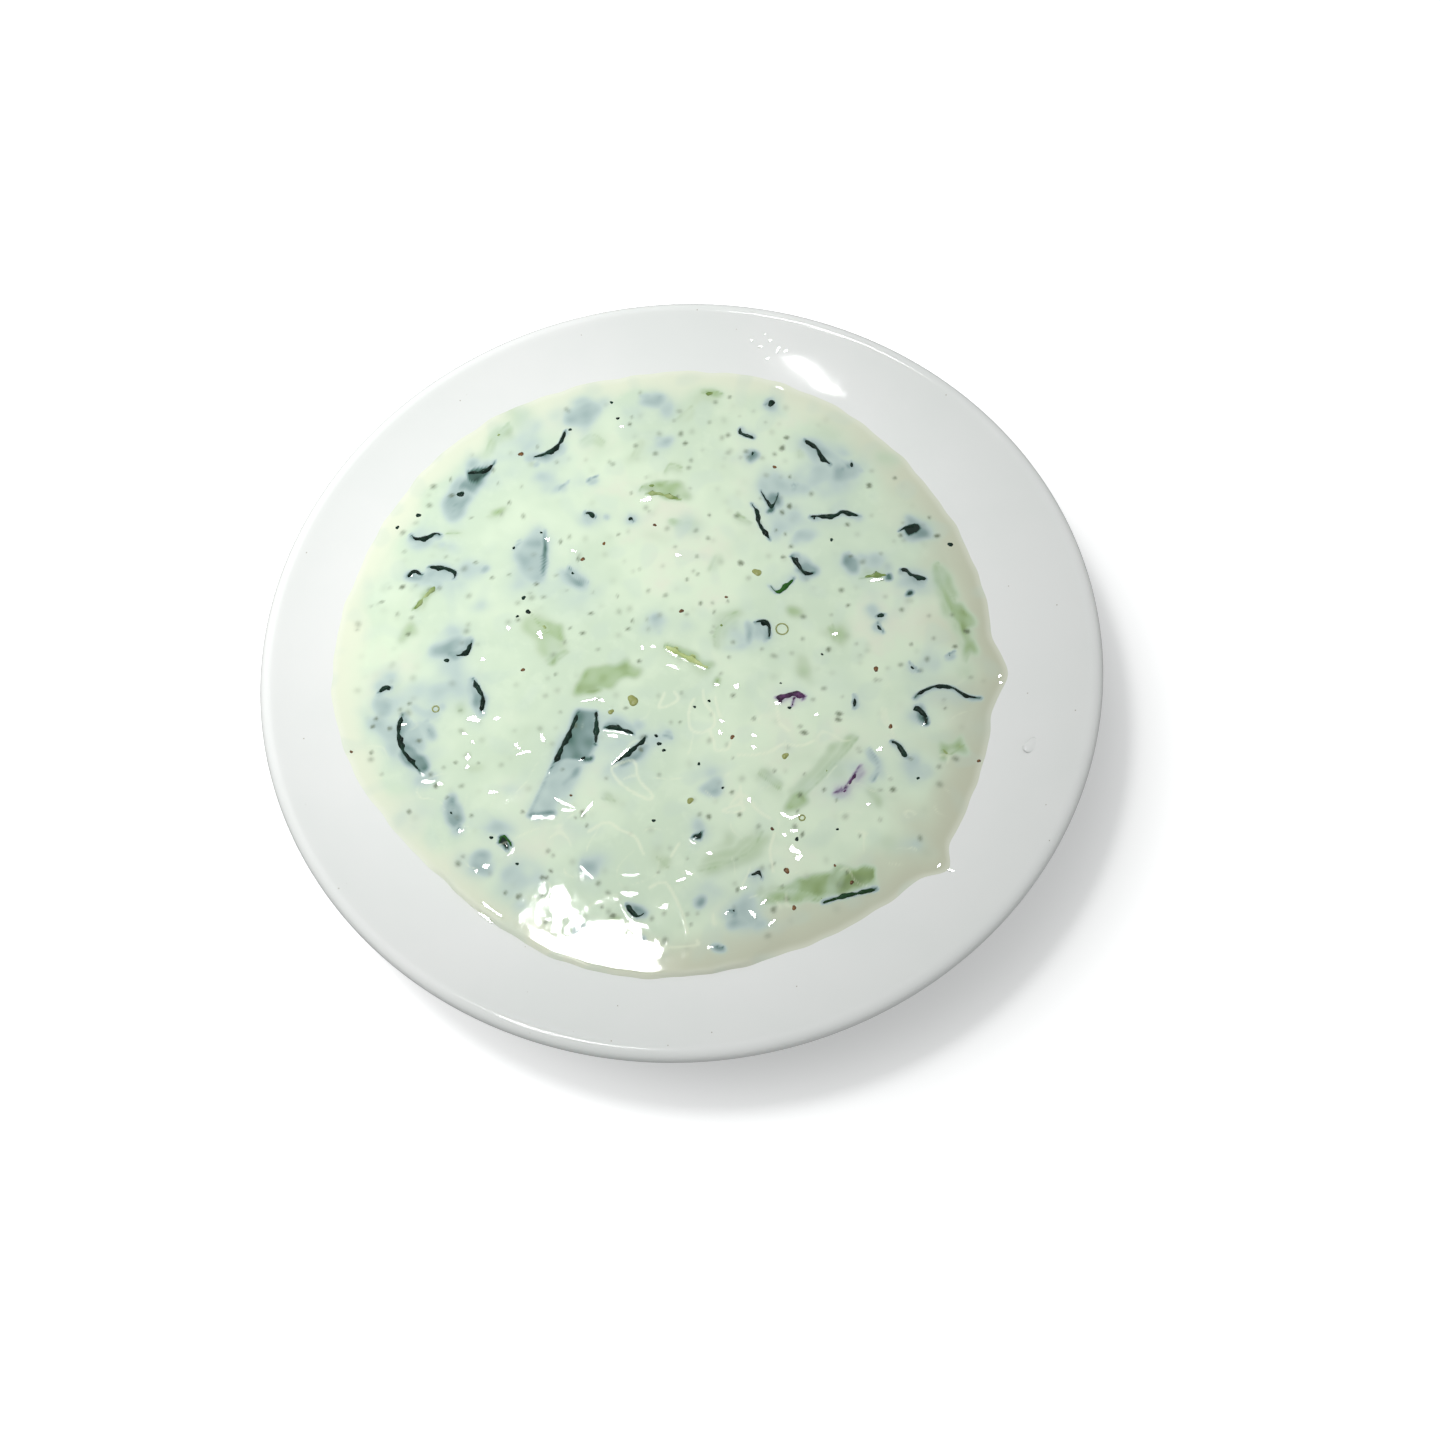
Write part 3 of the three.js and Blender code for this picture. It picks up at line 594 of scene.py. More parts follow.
# Flat leaves: x, y, length, width, bearing of the length and depth under the surface.
peel_leaves = [Leaf(*given) for given in [
    (-43, 51, 6, 2.8, 10, 0.2), (-11.2, -21.2, 7.5, 1.8, 40, 0.9), (-43.6, 53.6, 3.6, 2.4, 0, 1.9),
    (-43.3, 48.4, 5, 4, 60, 0.9), (-47, 43.6, 7, 4.4, 62, 1.5), (-48.4, 40.2, 2.6, 2, 60, 1.5),
    (-48.2, 46.8, 3.4, 1.8, 0, 2.9), (-35.5, 56.3, 6, 3, 20, 3.3), (-30.5, 60, 8, 7, 60, 3.8),
    (-30, 54.2, 3.4, 1.4, 5, 1.4), (-33, 50.6, 13, 1.4, 5, 3.2), (-27.5, 48.3, 5, 3.2, -35, 2.7),
    (-29.3, 52, 1.2, 0.6, 30, 0.7), (-55, 34, 5.4, 2.4, 0, 2), (-54.8, 36.7, 4.5, 2, 0, 3),
    (-48.6, 32, 5, 1.4, -30, 2.7), (-50.9, 33.2, 1.7, 1.2, 0, 1.4), (-28.3, 29, 12, 0.9, 86, 0.5),
    (-33.6, 22, 7, 6, 80, 3.6), (-57.2, 25.6, 3.6, 2.8, 10, 0.9), (-51.8, 26, 5.5, 3, 0, 2),
    (-63.4, 25, 4, 1.4, 20, 3.4), (-44.6, 26, 6, 4.6, 10, 2.5), (-41.6, 26, 2.4, 1, 20, 1),
    (-54, 24.5, 7, 3, 0, 3), (-47, 22.5, 6, 4, 30, 4), (-18, 64.8, 8.5, 6, 30, 1.9),
    (-16, 67.6, 7.5, 3.4, 0, 2.5), (-18, 61.6, 4, 2.6, 20, 2.7), (-22.5, 64.2, 5, 4, 40, 3.2),
    (-2, 67, 7, 3.4, 0, 2.1), (-2.6, 68.2, 4.6, 0.8, -5, 1.5), (1.2, 63.8, 3.2, 4.6, 0, 2.8),
    (-7, 64, 7, 3, 0, 4), (0.3, 55.9, 5, 2, 32, 1.9), (-1.6, 54, 3.4, 2.6, 0, 3),
    (-20.3, 46.8, 5, 1.4, 5, 2.6), (-25.2, 45.2, 2.6, 1.8, 20, 2), (-24, 52.6, 6, 1.4, 25, 2.6),
    (-17.6, 36.8, 5, 2.6, 0, 2.7), (-14.2, 37.3, 1.2, 0.9, 0, 1.2), (-8.7, 36, 2.6, 2.2, 0, 2.2),
    (2.6, 31.4, 1.8, 1.2, 0, 2.4), (4, 33, 5, 4, 0, 3.8), (19, 56.4, 3.6, 1.8, -30, 2.6),
    (20, 50, 2.6, 1.2, 56, 0.8), (15.3, 49.7, 1, 0.9, 0, 1.8), (12.5, 51, 2.4, 1, 10, 3),
    (22.6, 42.5, 8, 5, 100, 2.5), (22.8, 36, 2, 1.5, 0, 0.2), (23.4, 38.6, 4.4, 3.4, 90, 1),
    (24, 31.5, 7, 5.5, 90, 3.6), (25, 63.2, 3.6, 3.4, 0, 2.2), (27, 61.2, 1.3, 0.9, 0, 1.7),
    (33.4, 50.6, 8, 3, -48, 1.9), (34.6, 50, 5, 1, -50, 1), (38.5, 50, 6, 2, -30, 2.9),
    (40.2, 44.2, 7.5, 4.6, 10, 1.9), (44, 46, 4, 3.6, 0, 3.4), (36, 42.5, 13, 9, 0, 3.4),
    (36, 49.5, 7, 2.4, -40, 1.8), (31.5, -33, 3.4, 1.8, 25, 0.9), (28.6, 40.8, 7, 4, -20, 2.8),
    (29, 28.6, 6, 3, 30, 2), (26.5, 33.5, 8, 6, 60, 3.8), (36, 32.3, 11, 1.6, 0, 3.2),
    (42, 32.4, 1.8, 1.2, -20, 1.3), (53.2, 28.2, 3, 2, 15, 0.1), (54, 28.6, 5.4, 4, 20, 1.6),
    (-63.4, 0, 5, 3.6, 20, 2.4), (-62.8, -5.5, 7, 7, 60, 3.2), (-66, -9.4, 6, 3.4, 100, 2.9),
    (-57.8, -18.2, 5.6, 3.6, -50, 0.6), (-57.6, -13, 6, 5, 100, 1.9),
    (-56.6, -14.5, 2.4, 1.2, 20, 1.3), (-62.4, -13, 11, 3.6, 100, 2.8),
    (-62, -18, 4, 3.4, 120, 3.2), (-55, -23, 4, 3, 0, 2), (-56, -7.5, 6, 1.2, -48, 2),
    (-54.4, -11.8, 5, 1, -70, 1.5), (-50.2, 7.6, 7, 4, 10, 1.4), (-48.8, 6, 4.6, 1.8, 5, 1.1),
    (-48.2, 12, 5, 3.6, 0, 3), (-49, 2.4, 6, 7, 0, 3.7), (-49, 13, 1.7, 1.1, 20, 1.8),
    (-43.3, -6.4, 6.6, 2.4, 100, 1.1), (-47, -2, 7, 7, 0, 3.2), (-54, -3.5, 10, 6, 0, 3.8),
    (-53, -7, 1.6, 1.3, 0, 1.9), (-51.5, -6.6, 1.5, 1.3, 0, 1.5), (-42.8, 16.9, 5, 0.9, 12, 1.9),
    (-22.2, 22.3, 6, 3.6, -42, 2), (-21.2, 22.8, 5.4, 0.9, -42, 1.4), (-22, 17, 9, 8, 0, 4.4),
    (-5.2, 10, 6.5, 3.2, 80, 2.8), (-4.7, 11.3, 1.5, 1.2, -40, 1.5), (-4.3, 7.5, 1.2, 0.9, 0, 1.5),
    (1.7, 8.5, 2.4, 1.8, 0, 2.8), (15.1, 5.8, 6.4, 1, 90, 1.2), (13.5, 2.6, 8, 1, 5, 1.8),
    (-31.4, -33.1, 5.4, 1, 0, 0.7), (-21, -21.2, 2.2, 1.2, 20, 0.3),
    (-24.6, -24.8, 6, 1.2, 52, 1.2), (-10, -14.2, 3.2, 1.8, -10, 1.8), (-6, -17.6, 8, 3.4, 0, 2.9),
    (-3.8, -18.3, 2.4, 1, 25, 1.8), (-14.3, -18.4, 6, 3, 0, 4), (-13.5, -24.5, 7, 5, 40, 3.3),
    (-17, -24, 5, 1.2, 60, 2.5), (29.4, 20.4, 5, 4, -20, 1.2), (29.6, 18.4, 4, 0.9, 10, 1.1),
    (39, 21, 4.6, 2, 88, 1.1), (43.4, 20.4, 6, 4.4, 0, 2.4), (46.6, 19, 3.2, 1.6, 90, 2),
    (46.7, 16.8, 1.8, 1.6, 0, 0.2), (52, 15, 5.6, 4, -10, 2.6), (51, 12.4, 1.8, 1.1, 20, 0.3),
    (43, 9.2, 2.4, 3.4, 20, 2), (42.4, 13, 2.4, 5, 10, 3.6), (54.6, -4, 6, 3.4, 10, 3.4),
    (51, -7, 5, 3.4, -40, 3.1), (54.5, -13, 11, 3, 0, 4), (50.3, -16.6, 3.2, 2, -70, 0.7),
    (51.3, -17.9, 2.2, 1.5, 90, 0.1), (48.9, -17, 3.4, 2.4, 90, 2.3), (37, -13, 3, 5, 0, 3.1),
    (47, -28.6, 6, 5, 100, 2.9), (49.6, -29, 5, 4, 0, 3.6), (33, -8, 6, 5, 0, 4.4),
    (-49.5, -29.6, 4.4, 3.2, 100, 1.2), (-49.6, -32.6, 3, 2.8, 0, 1),
    (-49, -35.2, 2.6, 2.6, 0, 1.9), (-40, -35.4, 7, 3.4, 0, 2.9), (-39.5, -39, 2.9, 2.1, -45, 0.1),
    (-44.5, -42, 3.4, 2.8, 0, 1.6), (-45, -44.6, 6, 3, 10, 2.7), (-49, -41.5, 1.5, 1.8, 0, 2.3),
    (-58, -31, 9, 6, 0, 4.8), (-36, -47, 12, 8, 0, 3.9), (-36.3, -53, 2.4, 5, 0, 2.9),
    (-37.4, -27, 3, 2.2, 0, 2.8), (-25, -37, 8, 5, 20, 4.6), (-15, -25.4, 6, 5, 0, 3.6),
    (4.7, -29.8, 3.4, 2.5, 0, 1.5), (3.6, -26, 5, 4.4, 0, 4.1), (0.9, -38.6, 3.5, 3.4, 0, 1.7),
    (0.9, -40.9, 1.9, 1.4, 10, 0.1), (-20.6, -44.6, 5.6, 2.8, 26, 2.3),
    (0.3, -55.2, 3.2, 1.9, 40, 1), (3, -53.2, 6, 3.4, 0, 3.6), (7.2, -58, 2, 1, -40, 0.7),
    (7.6, -60.8, 4.4, 2.6, 0, 1.5), (12, -61.3, 3.6, 1.6, 0, 2), (9, -58.6, 8, 6.5, 0, 3),
    (3.5, -65.6, 2.9, 1, -14, 0.7), (12.2, -50.6, 4.5, 3.4, 0, 2.4), (-12.4, -56.2, 3, 2, -40, 0.8),
    (-24.6, -59.4, 3.2, 1.4, 40, 0.9), (-12, -62.5, 0.9, 1.5, 10, 0.8), (31, -31.5, 9, 6, 30, 4.2),
    (39.8, -28, 6, 1.4, 95, 1.8), (36.5, -29.5, 8, 5, 60, 3.4), (45.5, -46, 2.8, 2.6, 0, 2.6),
    (22.5, -9.8, 7, 3, 0, 3.8), (62, -20.5, 5, 3.5, 0, 4.6), (-66, 22, 5, 4, 0, 4.6),
]]
cucumber_leaves = [Leaf(*given) for given in [
    (-39, 59, 9, 2.4, 58, 1.7), (-38, 41, 3.6, 1.1, 10, 1.2), (-48, 35.8, 3.6, 1, 0, 1.3),
    (-33, 65, 8, 5, 30, 3.4), (-15, 57.4, 5, 4.6, 0, 3.6), (-7.6, 51.8, 5, 1.4, 40, 2.9),
    (1.6, 49.2, 4.4, 1, 0, 2), (0.6, 42.8, 8, 4.4, -12, 1.6), (2, 42.6, 4.4, 4, -30, 1.6),
    (-1.8, 44.6, 8, 0.9, 6, 0.9), (-0.6, 41.2, 2.6, 1, -25, 0.7), (1, 34.7, 3.4, 1.1, -25, 0.9),
    (4, 33.6, 6, 2.8, -20, 2.9), (-3, 31, 7, 1, -28, 2.9), (11.6, 68, 5, 1.2, -12, 1.1),
    (10, 67, 7, 2.4, 0, 3), (5, 63, 5, 1.6, 45, 2.9), (12, 60, 9, 1, -8, 3.6),
    (30.3, 50.3, 2.8, 0.9, 75, 1.6), (17.4, 33, 5, 1, -62, 2.6), (14.5, 28, 9, 1.4, 48, 3.2),
    (13, 47.5, 5, 4, 0, 4.4), (36.5, 54.5, 6, 4, -40, 3.2), (49.5, 47, 6, 2, -50, 2.8),
    (56, 29, 4, 4.4, 0, 2.9), (-54, 21.6, 6.4, 2.4, 62, 1.2), (-58.8, 12.4, 5, 2, 56, 1.4),
    (-48.4, 9.8, 2.6, 1, 0, 1.6), (-64, -5.6, 2.4, 2.2, 0, 2), (-47.8, -7, 2.2, 1.8, 50, 1.5),
    (-29.2, 8.5, 12, 6.4, -58, 2.2), (-26.6, 9.5, 5.5, 3, -55, 0.9), (-30.8, 12, 7, 1.1, -42, 1.7),
    (-26.4, 3, 4.6, 1.3, 42, 0.8), (-16.6, -2.4, 14, 5.4, 22, 1.1), (-12.6, -1.6, 6, 3.2, 55, 1.2),
    (-19.3, -3.4, 5.4, 3.4, 10, 1.2), (-19.4, -5.5, 4.6, 1.1, 8, 0.6), (1.8, 1, 11, 2.3, -28, 0.9),
    (4.6, -1.6, 4.4, 2.6, -30, 2), (-2.4, 3, 4, 2.8, -20, 2.4), (8.3, 6.4, 6, 1, 74, 1.8),
    (11.8, 10.3, 7, 1.9, 5, 1.9), (7.4, -5.4, 2, 1.6, 0, 0.7), (26.4, -3.8, 7.6, 2.3, 96, 1.9),
    (25.5, 10, 2.9, 2.7, 0, 1.6), (34.8, 4, 6.4, 2.6, 96, 1.9), (59.2, 14.6, 9, 2.2, -72, 1.3),
    (62.6, 6, 7, 2.6, -66, 1), (63.4, -1.6, 3.4, 1.6, 80, 1), (62.8, 1.6, 5, 1.4, 96, 1.9),
    (60.6, -7.4, 4.4, 1.8, 80, 2.4), (54, -25.5, 4, 1.8, 100, 0.9),
    (57.8, -25.6, 3.4, 2.6, 40, 0.9), (55.8, -24.4, 6, 4.5, 0, 3.4), (-45, -21.3, 5, 1.2, 5, 1.9),
    (-34, -14.5, 5, 1.5, 60, 2.9), (-28.4, -18, 5, 1.6, -60, 2.7), (-37, -19, 7, 5, 0, 4.2),
    (-16, -31.2, 2.8, 1.2, -10, 1.9), (7.2, -40.8, 3, 1.5, 95, 1.9),
    (-6.6, -46.2, 3.2, 1.3, 68, 1.4), (-8, -44.6, 6, 1.6, 74, 3), (7.4, -47.4, 15, 1.9, 13, 1.9),
    (13.2, -43.6, 7, 1.9, 42, 2.2), (9, -44.6, 12, 4, 22, 4), (27.4, -53, 21, 4.8, 7, 0.7),
    (33, -52.4, 9, 3.6, 15, 0.35), (19.6, -55.8, 12, 1.7, 5, 1), (13, -54.4, 3, 1, 0, 1.5),
    (17, -30.6, 8, 1.4, -52, 2.5), (22.4, -35, 4.6, 2, 42, 1.1), (29.6, -28.6, 17, 3.2, 42, 3.1),
    (31.6, -28.2, 6, 3, 50, 2.6), (38.6, -35, 5, 1.6, -62, 1.6), (-17, -57.5, 3.6, 1, -10, 1),
    (-22, -57.4, 1.2, 1.6, 0, 1.7), (40.6, -45.5, 3.4, 3, 0, 3), (24, -24, 8, 5, 30, 4.6),
    (-62, -1.5, 5, 2, 40, 2.8),
]]

# Sheets: corners and depth under the surface.
peel_sheets = [
    Sheet([(-22.8, -9.8), (-18.6, -9.8), (-19.3, -18.8), (-22, -21.6), (-28, -21), (-25, -14.6)], 0.8),
    Sheet([(-25.6, -16.8), (-19.3, -17.6), (-19.3, -18.8), (-22, -21.4), (-28, -21)], 0.7),
    Sheet([(-45.5, 52.4), (-39.4, 52.2), (-40.2, 50.2), (-45.3, 50)], 0.4),
    Sheet([(-27.4, -20), (-21.8, -21), (-25, -28), (-28.8, -33.4), (-34, -33.6)], 2.3),
    Sheet([(-29, 36.4), (-27.8, 30), (-28.6, 22), (-31.5, 22), (-35, 28), (-33, 32)], 1.7),
    Sheet([(9.8, 8.2), (14.6, 8.6), (14.8, 2.6), (9.6, 2.2)], 3.2),
    Sheet([(15.3, 8.3), (19.6, 7.4), (19.8, 3.6), (15.4, 2.8)], 3.0),
]

FLECK_COUNT = 620
FLECK_WIDTH = 0.75
FLECK_DEPTHS = (0.1, 1.6)
FLECK_SIZES = (0.3, 1.1)
herb_flecks = []
while len(herb_flecks) < FLECK_COUNT:
    fleck_x, fleck_y = rng.uniform(-POOL_RADIUS, POOL_RADIUS, 2)
    fleck_turn = rng.uniform(0, 180)
    fleck_size = FLECK_SIZES[0] + (FLECK_SIZES[1] - FLECK_SIZES[0]) * rng.random() ** 2
    if math.hypot(fleck_x, fleck_y) < pool_radius(math.atan2(fleck_y, fleck_x)) - 4:
        fleck_depth = FLECK_DEPTHS[0] + (FLECK_DEPTHS[1] - FLECK_DEPTHS[0]) * rng.random() ** 2
        shape = (fleck_size, FLECK_WIDTH * fleck_size, fleck_turn, fleck_depth)
        herb_flecks.append(Leaf(fleck_x, fleck_y, *shape))

# ---- Where the camera and the bright windows stand --------------------------------------

CAMERA_DISTANCE = 450.0
CAMERA_ELEVATION = math.radians(65.055)
CAMERA_ROLL = math.radians(-4.61)
CAMERA_LENS = 53.632
CAMERA_AIM = (7.486, -17.489, DISH_HEIGHT)
WINDOW_DISTANCE = 600.0

aim = Vector(CAMERA_AIM) * MM
back = Vector((0, -math.cos(CAMERA_ELEVATION), math.sin(CAMERA_ELEVATION)))
eye = aim + CAMERA_DISTANCE * MM * back


def seen_in(x, y, height, normal):
    """A point of a surface, and the direction from which it mirrors light to the camera."""
    at = Vector((x, y, height)) * MM
    out = (eye - at).normalized()
    normal = Vector(normal).normalized()
    return at, 2 * normal.dot(out) * normal - out


# Where each window is mirrored in the dip: x, y, length, width and turn in degrees.
WINDOWS = [
    (-22, -66.6, 26, 9, -16), (-28.4, -54, 4.6, 8, 8), (-18.2, -61.2, 12, 4.6, -6), (-33.6, -58.5, 3, 5, 0),
]
UP = (0, 0, 1)
window_at, window_way = seen_in(*WINDOWS[0][:2], DIP_LEVEL, UP)
window_place = window_at + WINDOW_DISTANCE * MM * window_way

# ---- The dip's surface ------------------------------------------------------------------

# Clearness of the dip over peel, cucumber, onion and flecks, in millimetres of depth.
PEEL_CLEARNESS, CUCUMBER_CLEARNESS = 2.3, 3.0
ONION_CLEARNESS, FLECK_CLEARNESS = 1.5, 0.9


def veil_of(clearness, strips=(), leaves=(), sheets=()):
    """The veil of everything of one kind that lies in the dip."""
    veil = Veil(clearness)
    for each in strips:
        veil.add_strip(each)
    for each in leaves:
        veil.add_leaf(each)
    for each in sheets:
        veil.add_sheet(each)
    return veil


peel_veil = veil_of(PEEL_CLEARNESS, peel + sunk_peel, peel_leaves, peel_sheets)
cucumber_veil = veil_of(CUCUMBER_CLEARNESS, cucumber + sunk_cucumber, cucumber_leaves)
onion_veil = veil_of(ONION_CLEARNESS, onion + sunk_onion)
fleck_veil = veil_of(FLECK_CLEARNESS, leaves=herb_flecks)
veil_maps = {
    "peel_veil": peel_veil.map(),
    "cucumber_veil": cucumber_veil.map(),
    "onion_veil": onion_veil.map(),
}
all_veils = sum(veil_maps.values())
veil_maps["fleck_veil"] = fleck_veil.map()

# Fine matter from the peel clouds the dip round it, by a share and to a reach each.
PEEL_HAZE = ((0.38, 2), (0.28, 5))
dark = veil_maps["peel_veil"]
streaky = 1 + 0.1 * noise(5) * smooth_step(0.8, 0.4, dark)
dark = np.clip(dark * streaky, 0, 1)
haze = sum(share * blurred(dark, reach) for share, reach in PEEL_HAZE)
haze += 0.08 * smooth_step(0.3, 1.8, noise(9))
veil_maps["peel_veil"] = dark + haze * (1 - dark) ** 2
crisp = sum(veil.layers[0] for veil in (peel_veil, cucumber_veil, onion_veil))

# Where the windows are mirrored, the dip lies flat up to its edge. Elsewhere it thins out
# towards the edge over a longer way, the thicker it is.
FLAT_PLACE = (-23, -61)
FLAT_RADIUS = 30.0
FLAT_BORDER = 16.0
FILM_SHARPNESS = 6.0
THICK_TAPER = 4.0

film = inner_height(map_r)
from_flat = np.hypot(map_x - FLAT_PLACE[0], map_y - FLAT_PLACE[1])
flat = smooth_step(FLAT_RADIUS + FLAT_BORDER, FLAT_RADIUS, from_flat)
open_level = dip_level(map_x, map_y)
flat_level = float(dip_level(*FLAT_PLACE))
level_above = open_level + flat * (flat_level - open_level) - film
over_film = np.logaddexp(0, (level_above - MARGIN_FILM) * FILM_SHARPNESS) / FILM_SHARPNESS
thickness = MARGIN_FILM + over_film
edge_reach = EDGE_TAPER * (1 - 0.5 * flat) + THICK_TAPER * (1 - flat) * thickness.clip(0, 2)
rounding = 1 - (1 - np.clip(map_edge / edge_reach, 0, 1)) ** 2

# Ripples: long ones, higher on the near half, that fade towards the margin and the flat
# place, and two finer kinds, of a height and a length each.
LONG_RIPPLE, NEAR_RIPPLE = 0.02, 0.01
LONG_RIPPLE_LENGTH = 19
FINE_RIPPLES = ((0.0035, 7), (0.0012, 2.6))

calm = 1 - 0.85 * smooth_step(14, 7, map_edge)
near_half = smooth_step(30, -30, map_y)
ripple = calm * (1 - flat) * (LONG_RIPPLE + NEAR_RIPPLE * near_half) * noise(LONG_RIPPLE_LENGTH)
for size, length in FINE_RIPPLES:
    ripple += size * noise(length)

# Fine creases of the surface, as paths over the dip in the dish's frame.
CREASES = [
    [(4.3, -7), (4.6, -10), (6.2, -13), (6.2, -15.5), (4, -17), (1.5, -16.5), (0.8, -14), (1.4, -10.5),
     (2.4, -9)],
    [(5.2, -17), (5.8, -19.5), (6, -21.5), (8.5, -21.5), (9.3, -20)],
    [(-3.8, -7), (-5.3, -10.3), (-3, -10), (-1, -8.7), (-1.8, -7)],
    [(-16, -23.5), (-11.5, -22.5), (-10.5, -27), (-8, -30.5), (-9, -31.5), (-13.5, -28.5), (-16, -25),
     (-16, -23.5)],
    [(-22, -38), (-18, -36), (-15, -38), (-12, -40), (-10.5, -44)],
    [(-10, -51.5), (-8, -50.5), (-6, -51), (-3.5, -57), (-2.5, -62)],
    [(10.5, -23), (14, -23.3), (17.5, -22.8), (20.5, -21.3), (24, -22), (27, -21)],
    [(10.7, -30), (10.6, -32), (10.3, -34), (6.5, -35.3), (9, -36), (11, -35.3), (10.3, -34)],
    [(12.5, -34), (14, -36), (16.5, -38)],
    [(6.8, -9), (7.2, -12), (7.6, -14)],
    [(20, -12), (20, -16), (22, -18.5)],
    [(-8.5, -62.5), (-7.8, -64.3), (-1, -64.5), (-0.8, -63.5)],
    [(16, -50), (15.7, -45), (17, -41)],
    [(-5, -45), (-3, -42)],
]
CREASE_POINTS = 400
creases = np.zeros((MAP_SIZE, MAP_SIZE))
for path in CREASES:
    points = smooth_path(path, CREASE_POINTS)[0]
    places = ((points + HALF_MAP) / CELL).astype(int)
    creases[places[:, 1], places[:, 0]] = 1

# More of them wander over the near half of the dip. Along all of them the surface is raised a little, and the
# dip's colour is lightened as a painted highlight.
ridges_and_highlight = np.exp(-((noise(14, 1.4) - 0.6) / 0.11) ** 2) * smooth_step(-0.1, 0.7, noise(9))
ridges_and_highlight *= smooth_step(4, -24, map_y) * smooth_step(2, 6, map_edge)
ridges_and_highlight = np.maximum(0.8 * ridges_and_highlight, np.clip(2.2 * blurred(creases, 0.22), 0, 1))

# The surface rises over its creases, over what is sunk and most of all round what breaks it.
CREASE_HEIGHT = 0.014
SUNK_LIFT = 0.05
EDGE_LIFT = 0.22
lift = ripple + CREASE_HEIGHT * ridges_and_highlight + SUNK_LIFT * blurred(np.clip(all_veils, 0, 1), 0.8)
lift += EDGE_LIFT * blurred(np.clip(crisp, 0, 1), 0.35)
surface_map = film + (thickness + lift * smooth_step(0, 3, map_edge)) * rounding


def surface_height(x, y):
    """Height of the finished surface, or of the bare dish beyond the dip's edge."""
    return read_map(surface_map, x, y)


# ---- Materials --------------------------------------------------------------------------


class Look:
    """A material made of nodes, with a Principled shader at its end."""

    def __init__(self, name, **sockets):
        self.material = bpy.data.materials.new(name)
        self.material.use_nodes = True
        self.tree = self.material.node_tree
        self.shader = self.tree.nodes["Principled BSDF"]
        self.place = self.node("ShaderNodeTexCoord").outputs["Object"]
        for socket, value in sockets.items():
            self.shader.inputs[socket.replace("_", " ")].default_value = value

    def node(self, kind, inputs=(), **settings):
        """A node whose inputs are numbers, colours or the outputs of other nodes."""
        made = self.tree.nodes.new(kind)
        for key, value in settings.items():
            setattr(made, key, value)
        for key, value in dict(inputs).items():
            if isinstance(value, bpy.types.NodeSocket):
                self.tree.links.new(value, made.inputs[key])
            else:
                made.inputs[key].default_value = value
        return made

    def noise(self, size_mm, detail=3.0, roughness=0.5):
        inputs = {"Vector": self.place, "Scale": 1 / (size_mm * MM)}
        inputs.update({"Detail": detail, "Roughness": roughness})
        return self.node("ShaderNodeTexNoise", inputs).outputs["Fac"]

    def ramp(self, value, low, high, start=0.0, end=1.0):
        """A smooth change from start to end as the value goes from low to high."""
        inputs = {"Value": value, "From Min": low, "From Max": high, "To Min": start, "To Max": end}
        made = self.node("ShaderNodeMapRange", inputs, interpolation_type="SMOOTHSTEP")
        return made.outputs["Result"]

    def maths(self, operation, a, b):
        """The result of an operation, kept between nought and one."""
        return self.node("ShaderNodeMath", {0: a, 1: b}, operation=operation, use_clamp=True).outputs[0]

    def mix(self, amount, a, b):
        return self.node("ShaderNodeMix", {0: amount, 6: a, 7: b}, data_type="RGBA").outputs[2]

    def shades(self, value, steps):
        """A colour that runs through the given ones as the value grows."""
        made = self.node("ShaderNodeValToRGB", {0: value})
        marks = made.color_ramp.elements
        while len(marks) < len(steps):
            marks.new(0.5)
        for mark, (position, colour) in zip(marks, steps):
            mark.position = position
            mark.color = (*colour, 1)
        return made.outputs["Color"]

    def attribute(self, name):
        """A number stored on the points of the mesh."""
        return self.node("ShaderNodeAttribute", attribute_name=name).outputs["Fac"]

    def dots(self, spacing_mm, radius_mm, share, seed):
        """One where a round dot is, on a share of the places of a random scatter."""
        shift = self.node("ShaderNodeVectorMath", {0: self.place, 1: (seed * 0.37, seed * 0.21, 0)})
        inputs = {"Vector": shift.outputs[0], "Scale": 1 / (spacing_mm * MM), "Randomness": 1.0}
        cells = self.node("ShaderNodeTexVoronoi", inputs, voronoi_dimensions="2D")
        kept = self.node("ShaderNodeSeparateColor", {0: cells.outputs["Color"]})
        size = self.ramp(kept.outputs[1], 0, 1, 0.45 * radius_mm / spacing_mm, radius_mm / spacing_mm)
        inside = self.maths("SUBTRACT", size, cells.outputs["Distance"])
        soft = self.ramp(inside, 0, 0.3 * radius_mm / spacing_mm)
        return self.maths("MULTIPLY", soft, self.maths("LESS_THAN", kept.outputs[0], share))

    def bump(self, height, distance_mm, strength=1.0):
        inputs = {"Height": height, "Distance": distance_mm * MM, "Strength": strength}
        return self.node("ShaderNodeBump", inputs).outputs["Normal"]

    def finish(self, **links):
        """The material, once these outputs are linked to its shader."""
        for socket, value in links.items():
            self.tree.links.new(value, self.shader.inputs[socket.replace("_", " ")])
        return self.material


def glaze_look():
    """A white glaze, faintly clouded, with a few pin marks."""
    look = Look("white_glaze", IOR=1.5)
    cloud = look.ramp(look.noise(38), 0.35, 0.65)
    colour = look.mix(cloud, (0.80, 0.82, 0.80, 1), (0.83, 0.84, 0.825, 1))
    colour = look.mix(look.dots(9, 0.16, 0.25, 1), colour, (0.45, 0.42, 0.36, 1))
    roughness = look.ramp(look.noise(12), 0.3, 0.7, 0.05, 0.08)
    normal = look.bump(look.noise(6, 2), 0.05, 0.5)
    return look.finish(Base_Color=colour, Roughness=roughness, Normal=normal)


